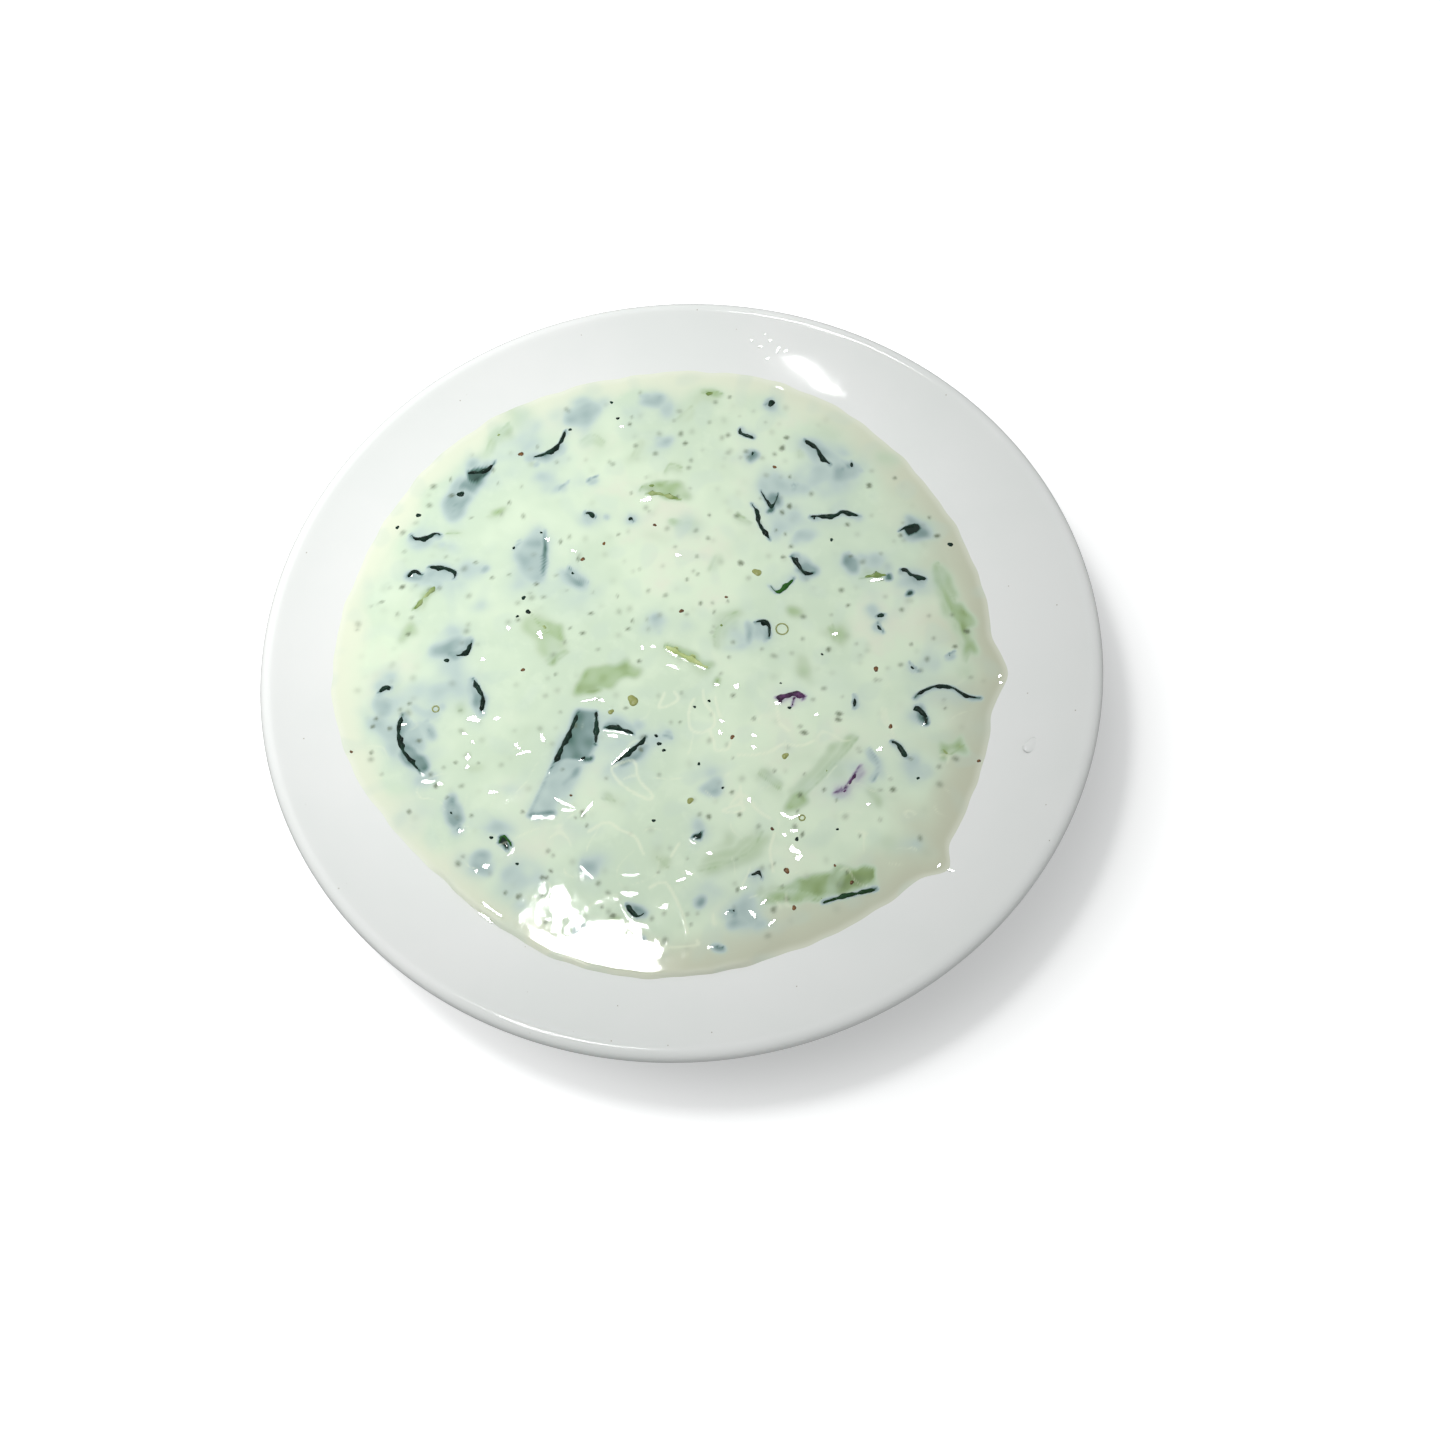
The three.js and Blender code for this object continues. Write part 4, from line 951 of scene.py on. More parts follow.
def bare_foot_look():
    """Unglazed stoneware, for the ring that the dish stands on."""
    look = Look("bare_foot")
    colour = look.mix(look.noise(1.2, 6), (0.62, 0.58, 0.5, 1), (0.76, 0.72, 0.64, 1))
    normal = look.bump(look.noise(0.5, 5), 0.06)
    roughness = look.ramp(look.noise(3), 0.3, 0.7, 0.75, 0.9)
    return look.finish(Base_Color=colour, Roughness=roughness, Normal=normal)


# Colours of peel, cucumber and onion in the dip, from barely seen to bare.
SLATE_SHADES = [
    (0.1, (0.54, 0.655, 0.565)), (0.3, (0.49, 0.60, 0.56)), (0.5, (0.375, 0.48, 0.465)),
    (0.7, (0.23, 0.33, 0.32)), (0.85, (0.09, 0.175, 0.15)), (0.95, (0.004, 0.018, 0.012)),
]
GREEN_SHADES = [
    (0.1, (0.57, 0.68, 0.52)), (0.3, (0.54, 0.65, 0.48)), (0.5, (0.46, 0.58, 0.39)),
    (0.7, (0.37, 0.50, 0.28)), (0.85, (0.23, 0.33, 0.12)), (1.0, (0.09, 0.15, 0.03)),
]
VIOLET_SHADES = [
    (0.1, (0.58, 0.62, 0.56)), (0.4, (0.46, 0.48, 0.50)), (0.7, (0.24, 0.20, 0.29)),
    (0.95, (0.04, 0.015, 0.05)),
]
MINT = (0.595, 0.715, 0.55, 1)
PALE = (0.68, 0.795, 0.61, 1)
PINK = (0.71, 0.745, 0.605, 1)
BRIGHT = (0.70, 0.81, 0.63, 1)
CREAM = (0.74, 0.785, 0.62, 1)
BEIGE = (0.55, 0.57, 0.435, 1)
BRINK = (0.84, 0.86, 0.76, 1)
HERB = (0.12, 0.15, 0.09, 1)
# A pale cream painted along the creases and ridges as a highlight.
CREASE_HIGHLIGHT = (0.80, 0.85, 0.66, 1)


def dip_look():
    """The dip: patchy pale green, creamy at its margin, tinted by what is sunk in it, and lightened along its
    creases and ridges as a painted highlight.
    """
    look = Look("yogurt_dip", IOR=1.42)

    def laid_over(colour, veil, gain, shades):
        amount = look.attribute(veil)
        return look.mix(look.maths("MULTIPLY", amount, gain), colour, look.shades(amount, shades))

    colour = look.mix(look.ramp(look.noise(26, 3, 0.6), 0.4, 0.62), MINT, PALE)
    colour = look.mix(look.ramp(look.noise(24, 4, 0.6), 0.54, 0.74, 0, 0.9), colour, PINK)
    colour = look.mix(look.ramp(look.noise(4.5, 3, 0.6), 0.5, 0.68, 0, 0.35), colour, BRIGHT)
    # At the margin, cream turns to a darker beige towards the near right of the dish.
    shore_colour = look.mix(look.attribute("shore"), CREAM, BEIGE)
    colour = look.mix(look.attribute("margin"), colour, shore_colour)
    colour = look.mix(look.maths("MULTIPLY", look.attribute("brink"), 0.4), colour, BRINK)
    colour = laid_over(colour, "cucumber_veil", 3.3, GREEN_SHADES)
    colour = laid_over(colour, "peel_veil", 3.3, SLATE_SHADES)
    colour = laid_over(colour, "onion_veil", 2.5, VIOLET_SHADES)
    colour = look.mix(look.maths("MULTIPLY", look.attribute("fleck_veil"), 0.9), colour, HERB)
    # Painted highlight: pale cream along the creases and ridges.
    colour = look.mix(look.ramp(look.attribute("ridge_highlight"), 0, 1, 0, 0.5), colour, CREASE_HIGHLIGHT)
    roughness = look.ramp(look.noise(9), 0.3, 0.7, 0.03, 0.055)
    normal = look.bump(look.noise(1.6, 2), 0.01, 0.3)
    return look.finish(Base_Color=colour, Roughness=roughness, Normal=normal)


def strip_look(name, dark, light, fresh=(0, 0, 0), size_mm=2.2, bending=1.42):
    """Wet skin or flesh, mottled from a dark to a light colour, or to the fresh one."""
    look = Look(name, IOR=bending)
    colour = look.mix(look.ramp(look.noise(size_mm, 4), 0.35, 0.7), (*dark, 1), (*light, 1))
    colour = look.mix(look.attribute("fresh"), colour, (*fresh, 1))
    roughness = look.ramp(look.noise(1.1), 0.3, 0.7, 0.16, 0.34)
    normal = look.bump(look.noise(0.6, 3), 0.05, 0.6)
    return look.finish(Base_Color=colour, Roughness=roughness, Normal=normal)


def wet_look():
    """Smooth wet cream, for the small facets."""
    look = Look("wet_cream", IOR=1.42, Roughness=0.04)
    colour = look.mix(look.noise(3, 2), (0.58, 0.69, 0.55, 1), (0.64, 0.74, 0.58, 1))
    return look.finish(Base_Color=colour)


glaze = glaze_look()
bare_foot = bare_foot_look()
dip_white = dip_look()
peel_green = strip_look(
    "dark_peel", (0.002, 0.01, 0.006), (0.008, 0.035, 0.022), fresh=(0.02, 0.10, 0.012), bending=1.3
)
cucumber_green = strip_look("cucumber_flesh", (0.14, 0.23, 0.05), (0.40, 0.48, 0.22), size_mm=4)
stick_green = strip_look("cucumber_stick", (0.42, 0.52, 0.2), (0.54, 0.62, 0.3), size_mm=3)
onion_violet = strip_look("onion_skin", (0.03, 0.008, 0.035), (0.12, 0.04, 0.13))
spice_red = strip_look("spice_fleck", (0.09, 0.045, 0.02), (0.22, 0.10, 0.03), size_mm=0.7)
oil_olive = strip_look("herb_oil", (0.24, 0.27, 0.08), (0.34, 0.37, 0.14), size_mm=1.5)
wet_cream = wet_look()

# ---- Dish -------------------------------------------------------------------------------


def underside(r):
    """The dish's outer surface, one wall thickness from the inner surface."""
    slope = inner_slope(r)
    size = np.hypot(slope, 1)
    return r + WALL * slope / size, inner_height(r) - WALL / size


def arc(centre, radius, start, end, count):
    """Points along an arc between two bearings in degrees."""
    turns = np.radians(np.linspace(start, end, count))
    return [(centre[0] + radius * math.cos(t), centre[1] + radius * math.sin(t)) for t in turns]


def dish_profile():
    """The turned section from the axis over the rim and back to the axis, and its foot."""
    steps = [0.0, 20.0, 36.0, *np.linspace(FLOOR_RADIUS, rim_end, 40)[:-1]]
    inner = [(r, float(inner_height(r))) for r in steps]
    lip = arc(lip_centre, LIP_RADIUS, math.degrees(lip_start), math.degrees(lip_start) - 180, 18)
    outer = [underside(r) for r in np.linspace(rim_end - 1, FOOT_RADIUS + 6, 30)]
    outer = [(float(r), float(z)) for r, z in outer]
    foot_in = FOOT_RADIUS - FOOT_WIDTH
    foot = [(FOOT_RADIUS + FOOT_FILLET, FOOT_RECESS + FOOT_ROUND), (FOOT_RADIUS + 0.4, 1.8)]
    foot += arc((FOOT_RADIUS - FOOT_ROUND, FOOT_ROUND), FOOT_ROUND, 0, -90, 5)
    foot += arc((foot_in + FOOT_ROUND, FOOT_ROUND), FOOT_ROUND, -90, -180, 5)
    foot += [(foot_in - 0.3, 1.9), (foot_in - 1.2, FOOT_RECESS), (20.0, FOOT_RECESS), (0.0, FOOT_RECESS)]
    return inner + lip + outer + foot


def turned(name, profile, count, material):
    """A closed mesh turned about the axis from a profile that starts and ends on it."""
    angles = round_angles(count)
    rings = [[(r * math.cos(a), r * math.sin(a), z) for a in angles] for r, z in profile[1:-1]]
    points = [(0, 0, profile[0][1])] + [p for ring in rings for p in ring] + [(0, 0, profile[-1][1])]
    faces = []
    for k in range(count):
        n = (k + 1) % count
        faces.append((0, 1 + k, 1 + n))
        for ring in range(len(rings) - 1):
            a, b = 1 + ring * count, 1 + (ring + 1) * count
            faces.append((a + k, b + k, b + n, a + n))
        last = 1 + (len(rings) - 1) * count
        faces.append((len(points) - 1, last + n, last + k))
    return mesh_object(name, points, faces, material)


DISH_SIDES = 288
BARE_HEIGHT = 0.35

dish = turned("glazed_dish", dish_profile(), DISH_SIDES, glaze)
dish.data.materials.append(bare_foot)
for face in dish.data.polygons:
    face.material_index = 1 if face.center.z < BARE_HEIGHT * MM else 0
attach(dish, "root")
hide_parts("dish")

# ---- Dip --------------------------------------------------------------------------------

GRID = 300
SHORE_BEARING = -35.0
MARGIN_WIDTH, SHORE_WIDTH, PATCH_WIDTH = 9, 7, 2.5
BRINK_WIDTH = 1.8
UNDERSIDE_RINGS = (WELL_RADIUS, 58.0, 52.0, FLOOR_RADIUS)


def round_grid():
    """A square grid bent into the pool's outline: radius and bearing of each of its points."""
    steps = np.linspace(-1, 1, GRID + 1)
    a, b = np.meshgrid(steps, steps)
    wide = np.abs(a) > np.abs(b)
    a_safe, b_safe = np.where(a == 0, 1, a), np.where(b == 0, 1, b)
    turn = np.where(wide, math.pi / 4 * b / a_safe, math.pi / 2 - math.pi / 4 * a / b_safe)
    reach = np.where(wide, a, b)
    x, y = (reach * np.cos(turn)).ravel(), (reach * np.sin(turn)).ravel()
    r, angle = np.hypot(x, y), np.arctan2(y, x)
    return r * pool_radius(angle), angle


def dip_mesh():
    """The dip's points and faces, and which points lie on its edge. The fine upper surface
    meets the dish at that edge, and the underside follows the dish in a few rings."""
    r, angle = round_grid()
    x, y = r * np.cos(angle), r * np.sin(angle)
    z = surface_height(x, y)
    row = GRID + 1
    border = [*range(GRID), *range(GRID, row * row - 1, row), *range(row * row - 1, row * GRID, -1)]
    border += [*range(row * GRID, 0, -row)]
    z[border] = inner_height(r[border]) - GAP
    points = [np.stack([x, y, z], 1)]
    corner = (np.arange(GRID)[:, None] * row + np.arange(GRID)).ravel()
    faces = np.stack([corner, corner + 1, corner + row + 1, corner + row], 1).tolist()
    count, last, turn = len(border), np.array(border), angle[border]
    start = row * row
    for radius in UNDERSIDE_RINGS:
        under = np.full(count, float(inner_height(radius)) - GAP)
        points.append(np.stack([radius * np.cos(turn), radius * np.sin(turn), under], 1))
        ring = start + np.arange(count)
        faces += np.stack([last, ring, np.roll(ring, -1), np.roll(last, -1)], 1).tolist()
        last, start = ring, start + count
    points.append(np.array([[0, 0, FLOOR_HEIGHT - GAP]]))
    faces += np.stack([np.full(count, start), np.roll(last, -1), last], 1).tolist()
    return np.concatenate(points), faces, set(border)


dip_points, dip_faces, dip_border = dip_mesh()
dip = mesh_object("yogurt", dip_points, dip_faces, dip_white)
for edge in dip.data.edges:
    edge.use_edge_sharp = edge.vertices[0] in dip_border and edge.vertices[1] in dip_border

# What the dip's material reads: what shows from below, and how near the edge a point is.
dip_x, dip_y = dip_points[:, 0], dip_points[:, 1]
for name, values in veil_maps.items():
    point_values(dip, name, read_map(values, dip_x, dip_y))
from_edge = read_map(map_edge, dip_x, dip_y)
patchy = read_map(noise(16), dip_x, dip_y).clip(-1.5, 1.5)
shore = smooth_step(-0.5, 0.9, np.cos(np.arctan2(dip_y, dip_x) - math.radians(SHORE_BEARING)))
# Where the material paints a highlight along the creases and ridges.
point_values(dip, "ridge_highlight", read_map(ridges_and_highlight, dip_x, dip_y))
point_values(dip, "shore", shore)
point_values(dip, "brink", smooth_step(BRINK_WIDTH, 0.2, from_edge))
margin_width = MARGIN_WIDTH + SHORE_WIDTH * shore + PATCH_WIDTH * patchy
point_values(dip, "margin", smooth_step(margin_width, 1, from_edge))
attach(dip, "root")
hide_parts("dip")


LEAF_THICKNESS = 0.5


def lens(leaf):
    """Points and faces of a leaf's closed body."""
    rim = leaf.rim(14 if leaf.length > 2 else 8)
    x, y = leaf.centre
    floor_here = float(inner_height(np.hypot(x, y)))
    half = min(LEAF_THICKNESS, leaf.width / 2) / 2
    middle = max(float(surface_height(x, y)) - leaf.depth - half, floor_here + half + GAP)
    count = len(rim)
    points = [(px, py, middle) for px, py in rim] + [(x, y, middle + half), (x, y, middle - half)]
    faces = [(k, (k + 1) % count, count) for k in range(count)]
    faces += [((k + 1) % count, k, count + 1) for k in range(count)]
    return np.array(points), faces


def strip_piece(name, strips, material, replaced=()):
    """One mesh of strips and leaves, with how fresh a green each is stored on its points."""
    points, faces, fresh = [], [], []
    for each in strips:
        own_points, own_faces = lens(each) if isinstance(each, Leaf) else ribbon(each)
        faces += [tuple(len(fresh) + i for i in face) for face in own_faces]
        points.append(own_points)
        fresh += [getattr(each, "fresh", 0.0)] * len(own_points)
    piece = mesh_object(name, np.concatenate(points), faces, material)
    point_values(piece, "fresh", fresh)
    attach(piece, "root")
    if replaced:
        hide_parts(*replaced)


for kind, strips, material in (
    ("peel", peel, peel_green), ("cucumber", cucumber, cucumber_green), ("onion", onion, onion_violet)
):
    for each in strips:
        node = f"{kind}_{each.name}"
        own_material = stick_green if each.name == "stick" else material
        strip_piece(f"{node}_cut", [each], own_material, [node])
strip_piece("sunk_peel", sunk_peel + peel_leaves, peel_green)
strip_piece("sunk_cucumber", sunk_cucumber + cucumber_leaves, cucumber_green)
strip_piece("sunk_onion", sunk_onion, onion_violet)
strip_piece("herb_flecks", herb_flecks, peel_green)

# ---- Specks and drops on the surface ----------------------------------------------------
# Each place is in the dish's frame: x, y and width.

SPICE = [
    (-32.6, 55.3, 1.2), (24.3, 47, 0.9), (9.8, -18.8, 1), (-15, 30.5, 0.8), (-19.9, 27, 1),
    (1, 12.1, 1), (11, 14.8, 0.7), (41.8, -5.2, 1.2), (43.5, -18.9, 1), (31.8, -53.4, 0.9),
    (18.7, -49.8, 1.3), (19.5, -58, 1), (16.5, -40.2, 0.8), (61.2, -28.3, 0.8), (-71.2, -15.3, 0.7),
    (-34, 0.7, 0.9), (-3.5, 34.2, 0.8), (28.7, -49.5, 0.6), (-25, -29.3, 0.6),
]
BLACK = [
    (-56, 41.3, 1.2), (61.3, 24, 1.2), (-46.5, 45.9, 1.6), (-50.4, 4.4, 1.1), (-6.3, -17, 0.8),
    (-5.8, -18.9, 1), (-4.9, -20.5, 0.8), (-11.4, 67.2, 0.8), (-10.2, 62.7, 0.8), (32, 33, 0.5),
    (-28.8, 34.5, 0.6), (-35, 31, 0.7), (-34.8, 14, 0.7), (-33.3, 18.5, 1), (-32.4, 14.9, 1.2),
    (35.3, 27.3, 0.8), (48, -31.2, 0.7), (-42, -37.4, 0.8), (2.3, -24.3, 0.7), (6.9, -30.2, 0.6),
    (25, 64, 1.7), (-36.8, -43.7, 0.7), (5.5, -9.8, 0.7), (2.3, -10.9, 0.7), (30.6, -0.6, 0.6),
    (-8.8, 36.2, 0.9), (-21.2, 60.8, 0.8), (22.5, -12.9, 0.8), (21.1, -6.9, 0.5),
    (-60.8, 38.6, 0.9), (-8, -36.5, 0.8), (30, -41.5, 0.6), (21.4, -43, 0.9),
]
# Small wet facets that mirror the window: x, y, length, width and bearing of the length.
GLINTS = [
    (-4.9, 40.8, 2.8, 1.7, 0), (-45, -10, 3.2, 2.2, 0), (-55, -23.7, 3, 1.3, 5),
    (-43.3, -43.7, 2, 1.4, 0), (-45.3, -44.6, 1, 1, 0), (-46.4, -18.6, 1, 2.4, 0),
    (-46.6, -20.9, 1, 1.3, 0), (-26.6, -30.9, 4.8, 1.1, -33), (-25.8, -32.6, 3, 1, 0),
    (-21.6, -32.7, 4, 1, 46), (-22.6, -46.8, 4.2, 1, -52), (-13.5, -48.2, 3.4, 1, -3),
    (-14, -52.3, 4.2, 1.6, -14), (-7, -55.7, 2.4, 1.5, 0), (3.1, -44.8, 1.5, 1, -20),
    (-1.5, -48.8, 1.9, 1, -25), (-3, -50.1, 2.4, 0.9, 5), (19.4, -37.4, 2.6, 1, -32),
    (21.2, -38, 2.4, 1, 12), (21, -41.1, 2, 1, 5), (19, -41.8, 1.1, 1.1, 0),
    (20.7, -45.4, 2.8, 2.2, -50), (21.4, -47.2, 1.7, 1.8, 0), (12.3, -33.3, 1, 1.6, 0),
    (-34.5, -18.7, 3, 1.2, 10), (-36, -16.8, 1.2, 1, 0), (-30.4, -15.8, 1, 2.8, 10),
    (-41.4, -27.2, 2, 1.2, 0), (-40, -10.3, 1.2, 1.4, 0), (-47, -13.2, 1.2, 1, 0),
    (-45.3, -15.3, 1, 1, 0), (-30, 8.9, 1.4, 2.6, 15), (-42.6, 4, 1, 1.9, 0),
    (-36.8, 11.2, 1, 1.6, 0), (-15.4, -16.3, 3, 1, -18), (-14, -21.2, 5.4, 1, 42),
    (-20, -7.5, 3.6, 0.9, 8), (-17.5, -7.7, 1.6, 1, 0), (11.6, -6.9, 1.6, 1.5, 0),
    (-1.8, -1, 3.6, 0.9, -22), (-5.7, 4.1, 1, 1.5, 20), (-8, 4, 1, 1.4, 20),
    (14.4, -18.8, 1.2, 1.2, 0), (7.3, -17.5, 1, 1.5, 15), (7.8, -14.8, 1, 1, 0),
    (14.1, -21.5, 1, 1.5, 10), (20, -11.7, 1.5, 1.2, 0), (33.8, 4, 1.3, 1.3, 0),
    (44, 16.2, 3, 1, 0), (40.6, -24, 1.4, 1.3, 0), (37, -36.3, 1, 1, 0), (-27.4, 32.6, 1, 1.4, 0),
    (1.2, 26.1, 1.5, 1.1, 0), (-21.8, 29.2, 1.3, 0.9, 0), (11, -58.8, 3, 1, -55),
    (14.6, -61, 2.2, 0.9, 45), (13.4, -56.4, 2, 0.9, 30), (-43, -52.7, 3.6, 1, -38),
    (-43.8, -54.6, 4.6, 0.9, -40), (-41, -54.4, 2, 0.9, -40), (-60, -10.1, 1.6, 1, 0),
    (-35.5, -17.6, 1, 1, 0), (26, 78.4, 1, 0.9, 0), (27.6, 76.2, 1.6, 0.8, 60),
    (23.6, 77.4, 0.9, 0.8, 0), (25, 74.6, 1.1, 0.8, 0), (21.8, 79, 0.8, 0.8, 0),
    (29.4, 75.6, 1.2, 0.9, 20), (24.8, 80, 0.8, 0.7, 0), (68, -9.2, 1, 0.8, 0),
    (68, -10.7, 0.8, 0.8, 0), (50, -51.5, 1.4, 0.8, 60), (52.2, -53, 1.6, 0.8, -20),
    (7.4, -6.1, 1.6, 0.9, -10), (-9.4, 60.5, 1, 1, 0), (28, -15, 1, 1, 0),
    (-52.5, -24.3, 1.2, 1.4, 0), (9.6, -53, 1.4, 1, 0),
]
DROPS = [(-10.8, -8.3, 2.4), (18.2, 20.4, 1.9), (-0.1, -32.6, 1.4), (20.6, -24, 1.4), (-15.6, -10.6, 1.2)]
RINGS = [(22.5, 6, 2.6), (22.9, -38.3, 1.2), (-53, -7, 1.4)]
SMEARS = [(72.4, -27, 3.6)]


# A dome's three rings, from its skirt in the surface upwards: reach and share of its height.
DOME_RINGS = ((1, -0.5), (1, 0.0), (0.75, 0.7))
DOME_WAVES = ((2, 0.18), (3, 0.1))


def dome(x, y, width, rise, round_steps=10):
    """A low dome that stands out of the surface, uneven in outline."""
    wave = random_angles(len(DOME_WAVES))
    base = float(surface_height(x, y))
    points, faces = [], []
    for reach, height in DOME_RINGS:
        for t in round_angles(round_steps):
            r = reach * uneven_reach(t, DOME_WAVES, wave) * width / 2
            points.append((x + r * math.cos(t), y + r * math.sin(t), base + height * rise))
    points += [(x, y, base + rise), (x, y, base - 0.5 * rise)]
    top, bottom = len(points) - 2, len(points) - 1
    for k in range(round_steps):
        n = (k + 1) % round_steps
        for ring in (0, round_steps):
            faces.append((ring + k, ring + n, ring + n + round_steps, ring + k + round_steps))
        faces.append((2 * round_steps + k, 2 * round_steps + n, top))
        faces.append((n, k, bottom))
    return points, faces


def hoop(x, y, width, round_steps=28, tube_steps=6, tube=0.16):
    """A thin ring lying in the surface, as round a bubble."""
    points, faces = [], []
    for k in range(round_steps):
        t = 2 * math.pi * k / round_steps
        across_x, across_y = math.cos(t), math.sin(t)
        base = float(surface_height(x + width / 2 * across_x, y + width / 2 * across_y)) + GAP
        near, far = k * tube_steps, (k + 1) % round_steps * tube_steps
        for j in range(tube_steps):
            u = 2 * math.pi * j / tube_steps
            r = width / 2 + tube * math.cos(u)
            points.append((x + r * across_x, y + r * across_y, base + tube * math.sin(u)))
            following = (j + 1) % tube_steps
            faces.append((near + j, far + j, far + following, near + following))
    return points, faces


# A facet's size beside its glint's, and how deep its sides reach into the surface.
FACET_LENGTH = 0.84
FACET_WIDTH = 0.62
FACET_ROOT = 0.3
FACET_WAVES = ((2, 0.22), (3, 0.2))


def facet(x, y, length, width, turn, count=14):
    """A low drop of cream whose flat top mirrors the window to the camera."""
    at = Vector((x, y, float(surface_height(x, y)))) * MM
    facing = (eye - at).normalized() + (window_place - at).normalized()
    t = round_angles(count)
    uneven = uneven_reach(t, FACET_WAVES, random_angles(len(FACET_WAVES)))
    along = FACET_LENGTH / 2 * length * uneven * np.cos(t)
    across = FACET_WIDTH / 2 * width * uneven * np.sin(t)
    cosine, sine = math.cos(math.radians(turn)), math.sin(math.radians(turn))
    px, py = x + along * cosine - across * sine, y + along * sine + across * cosine
    tilt = -(facing.x * (px - x) + facing.y * (py - y)) / facing.z
    base = surface_height(px, py)
    top = tilt + np.max(base - tilt) + GAP
    points = [*zip(px, py, top), *zip(px, py, base - FACET_ROOT)]
    faces = [tuple(range(count)), tuple(range(2 * count - 1, count - 1, -1))]
    for k in range(count):
        n = (k + 1) % count
        faces.append((k, k + count, n + count, n))
    return points, faces


def scattered(name, bodies, material, smooth=True):
    """One mesh of many small bodies."""
    points, faces = [], []
    for own_points, own_faces in bodies:
        faces += [tuple(len(points) + i for i in face) for face in own_faces]
        points += own_points
    piece = mesh_object(name, points, faces, material, smooth)
    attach(piece, "root")


scattered("spice_flecks", [dome(x, y, width, 0.12) for x, y, width in SPICE], spice_red)
scattered("dark_flecks", [dome(x, y, width, 0.14) for x, y, width in BLACK], peel_green)
scattered("wet_facets", [facet(*each) for each in GLINTS], wet_cream, False)
scattered("oil_drops", [dome(x, y, width, 0.16, 20) for x, y, width in DROPS], oil_olive)
scattered("rim_smear", [dome(x, y, width, 0.25, 18) for x, y, width in SMEARS], glaze)
scattered("bubble_rims", [hoop(x, y, width) for x, y, width in RINGS], oil_olive)

# ---- Floor, light and camera ------------------------------------------------------------

FLOOR_REACH = 4000.0
# Within these distances of this place, a little to the near right of the dish's middle, the floor's glow
# dims: a painted shadow beside the real one that the key lamp casts.
SHADE_PLACE = (18.0, -10.0, 0)
SHADE_INNER, SHADE_OUTER = 70.0, 102.0
SHADE_GLOW, OPEN_GLOW = 0.16, 0.52


def floor_look():
    """A pale floor with a glow of its own, which is weaker under and beside the dish: a painted shadow."""
    look = Look("pale_floor", Roughness=0.9)
    colour = look.mix(look.noise(200), (0.9, 0.9, 0.9, 1), (0.93, 0.93, 0.93, 1))
    place = tuple(MM * along for along in SHADE_PLACE)
    away = look.node("ShaderNodeVectorMath", {0: look.place, 1: place}, operation="DISTANCE")
    edges = (SHADE_INNER * MM, SHADE_OUTER * MM)
    glow_and_shadow = look.ramp(away.outputs["Value"], *edges, SHADE_GLOW, OPEN_GLOW)
    look.shader.inputs["Emission Color"].default_value = (1, 1, 1, 1)
    return look.finish(Base_Color=colour, Emission_Strength=glow_and_shadow)


corners = [(-1, -1), (1, -1), (1, 1), (-1, 1)]
floor_points = [(x * FLOOR_REACH, y * FLOOR_REACH, 0) for x, y in corners]
floor = mesh_object("floor", floor_points, [(0, 1, 2, 3)], floor_look())
floor.visible_diffuse = False
floor.visible_glossy = False

LIGHT_BEARING = 147.0
SKY_LIGHT = 0.56
GROUND_LIGHT = 0.27
HORIZON = 0.08
KEY_LIGHT = 0.9
KEY_REACH = 280.0
KEY_HEIGHT = 620.0
KEY_TARGET = 85.0
KEY_SPREAD = 17.0
KEY_RADIUS = 120.0
WINDOW_RADIANCE = 60.0
RIM_RADIANCE = 40.0

# Where a window is mirrored in the rim: x, y, length, width and turn in degrees.
RIM_WINDOW = (35, 69.3, 26, 8, -4)


def studio_world():
    """An even sky, and a dimmer half below the horizon."""
    world = bpy.data.worlds.new("studio")
    bpy.context.scene.world = world
    world.use_nodes = True
    tree = world.node_tree
    place = tree.nodes.new("ShaderNodeTexCoord")
    split = tree.nodes.new("ShaderNodeSeparateXYZ")
    tree.links.new(place.outputs["Generated"], split.inputs[0])
    above = tree.nodes.new("ShaderNodeMapRange")
    above.inputs["From Min"].default_value = -HORIZON
    above.inputs["From Max"].default_value = HORIZON
    above.inputs["To Min"].default_value = GROUND_LIGHT
    above.inputs["To Max"].default_value = SKY_LIGHT
    tree.links.new(split.outputs["Z"], above.inputs["Value"])
    background = tree.nodes["Background"]
    background.inputs["Color"].default_value = (0.98, 1, 1, 1)
    tree.links.new(above.outputs["Result"], background.inputs["Strength"])


def aimed(thing, target):
    """Turns a lamp or a camera towards a point."""
    thing.rotation_euler = (Vector(target) - thing.location).to_track_quat("-Z", "Y").to_euler()


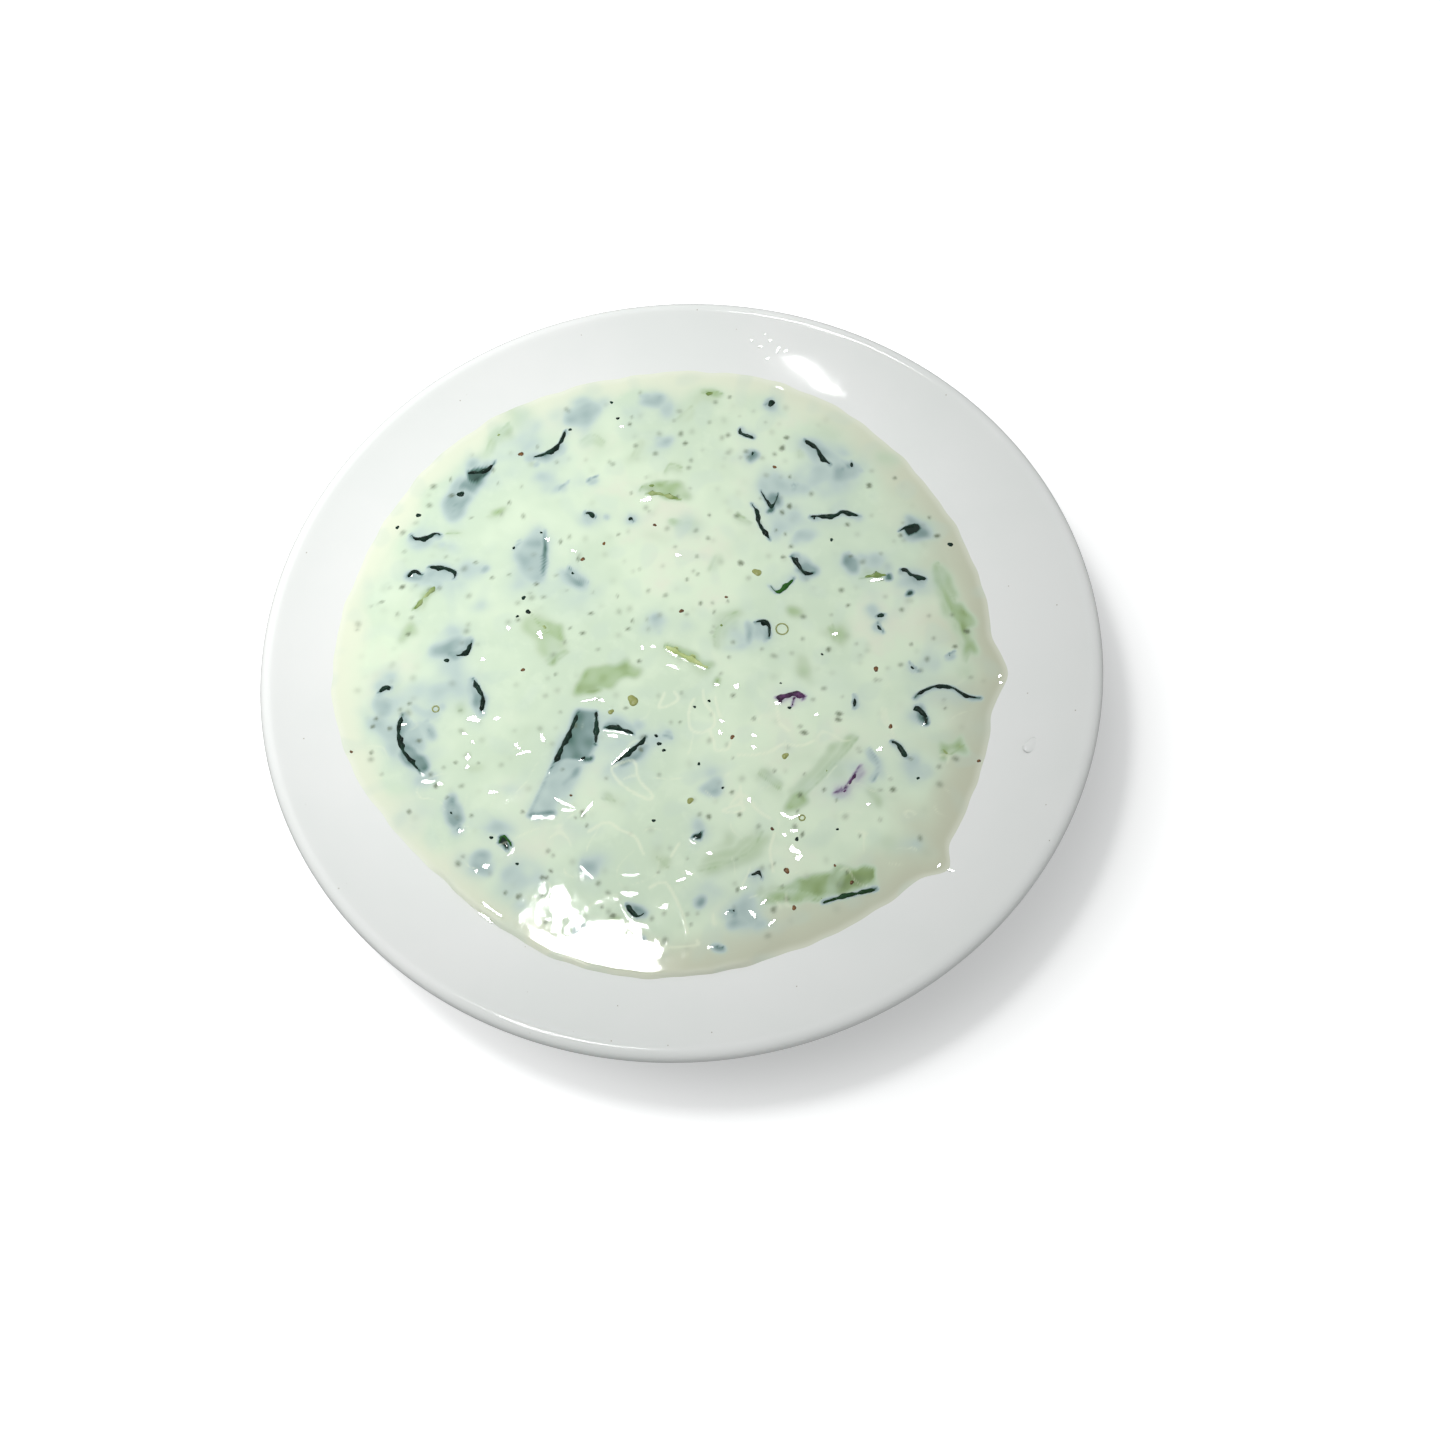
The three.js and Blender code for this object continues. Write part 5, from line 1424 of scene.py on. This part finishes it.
def placed(name, data, place, target, turn=0.0):
    """A lamp or a camera at a place, aimed at a point and turned about its own axis."""
    thing = bpy.data.objects.new(name, data)
    bpy.context.scene.collection.objects.link(thing)
    thing.location = place
    aimed(thing, target)
    thing.rotation_euler.rotate_axis("Z", turn)
    return thing


def make_camera():
    data = bpy.data.cameras.new("camera")
    data.sensor_width = 36
    data.lens = CAMERA_LENS
    data.clip_start = 0.01
    bpy.context.scene.camera = placed("camera", data, eye, aim, CAMERA_ROLL)


def make_key():
    """A soft lamp high up on one side, which is not mirrored."""
    bearing = math.radians(LIGHT_BEARING)
    side = Vector((math.cos(bearing), math.sin(bearing), 0)) * MM
    place = KEY_REACH * side + Vector((0, 0, KEY_HEIGHT * MM))
    target = KEY_TARGET * side
    light = bpy.data.lights.new("key", "SPOT")
    light.spot_size = 2 * math.radians(KEY_SPREAD)
    light.spot_blend = 1.0
    light.shadow_soft_size = KEY_RADIUS * MM
    light.energy = KEY_LIGHT * 4 * math.pi ** 2 * (target - place).length_squared
    placed("key", light, place, target).visible_glossy = False


def make_window(name, x, y, height, normal, length, width, turn, radiance):
    """A lamp seen only in reflections, mirrored at a place on a surface, at a size there."""
    at, way = seen_in(x, y, height, normal)
    to_eye = (eye - at).length
    growth = (WINDOW_DISTANCE * MM + to_eye) / to_eye * MM
    light = bpy.data.lights.new(name, "AREA")
    light.shape = "RECTANGLE"
    light.size, light.size_y = length * growth, width * growth
    light.energy = radiance * math.pi * light.size * light.size_y
    place = at + WINDOW_DISTANCE * MM * way
    placed(name, light, place, at, math.radians(turn)).visible_diffuse = False


studio_world()
make_camera()
make_key()
for x, y, length, width, turn in WINDOWS:
    make_window("window", x, y, flat_level, UP, length, width, turn, WINDOW_RADIANCE)
rim_x, rim_y, *rim_size = RIM_WINDOW
rim_r = math.hypot(rim_x, rim_y)
rim_slope = float(inner_slope(rim_r))
rim_normal = (-rim_slope * rim_x / rim_r, -rim_slope * rim_y / rim_r, 1)
make_window("rim_window", rim_x, rim_y, float(inner_height(rim_r)), rim_normal, *rim_size, RIM_RADIANCE)

bpy.context.scene.view_settings.view_transform = "Standard"
bpy.context.scene.view_settings.look = "None"
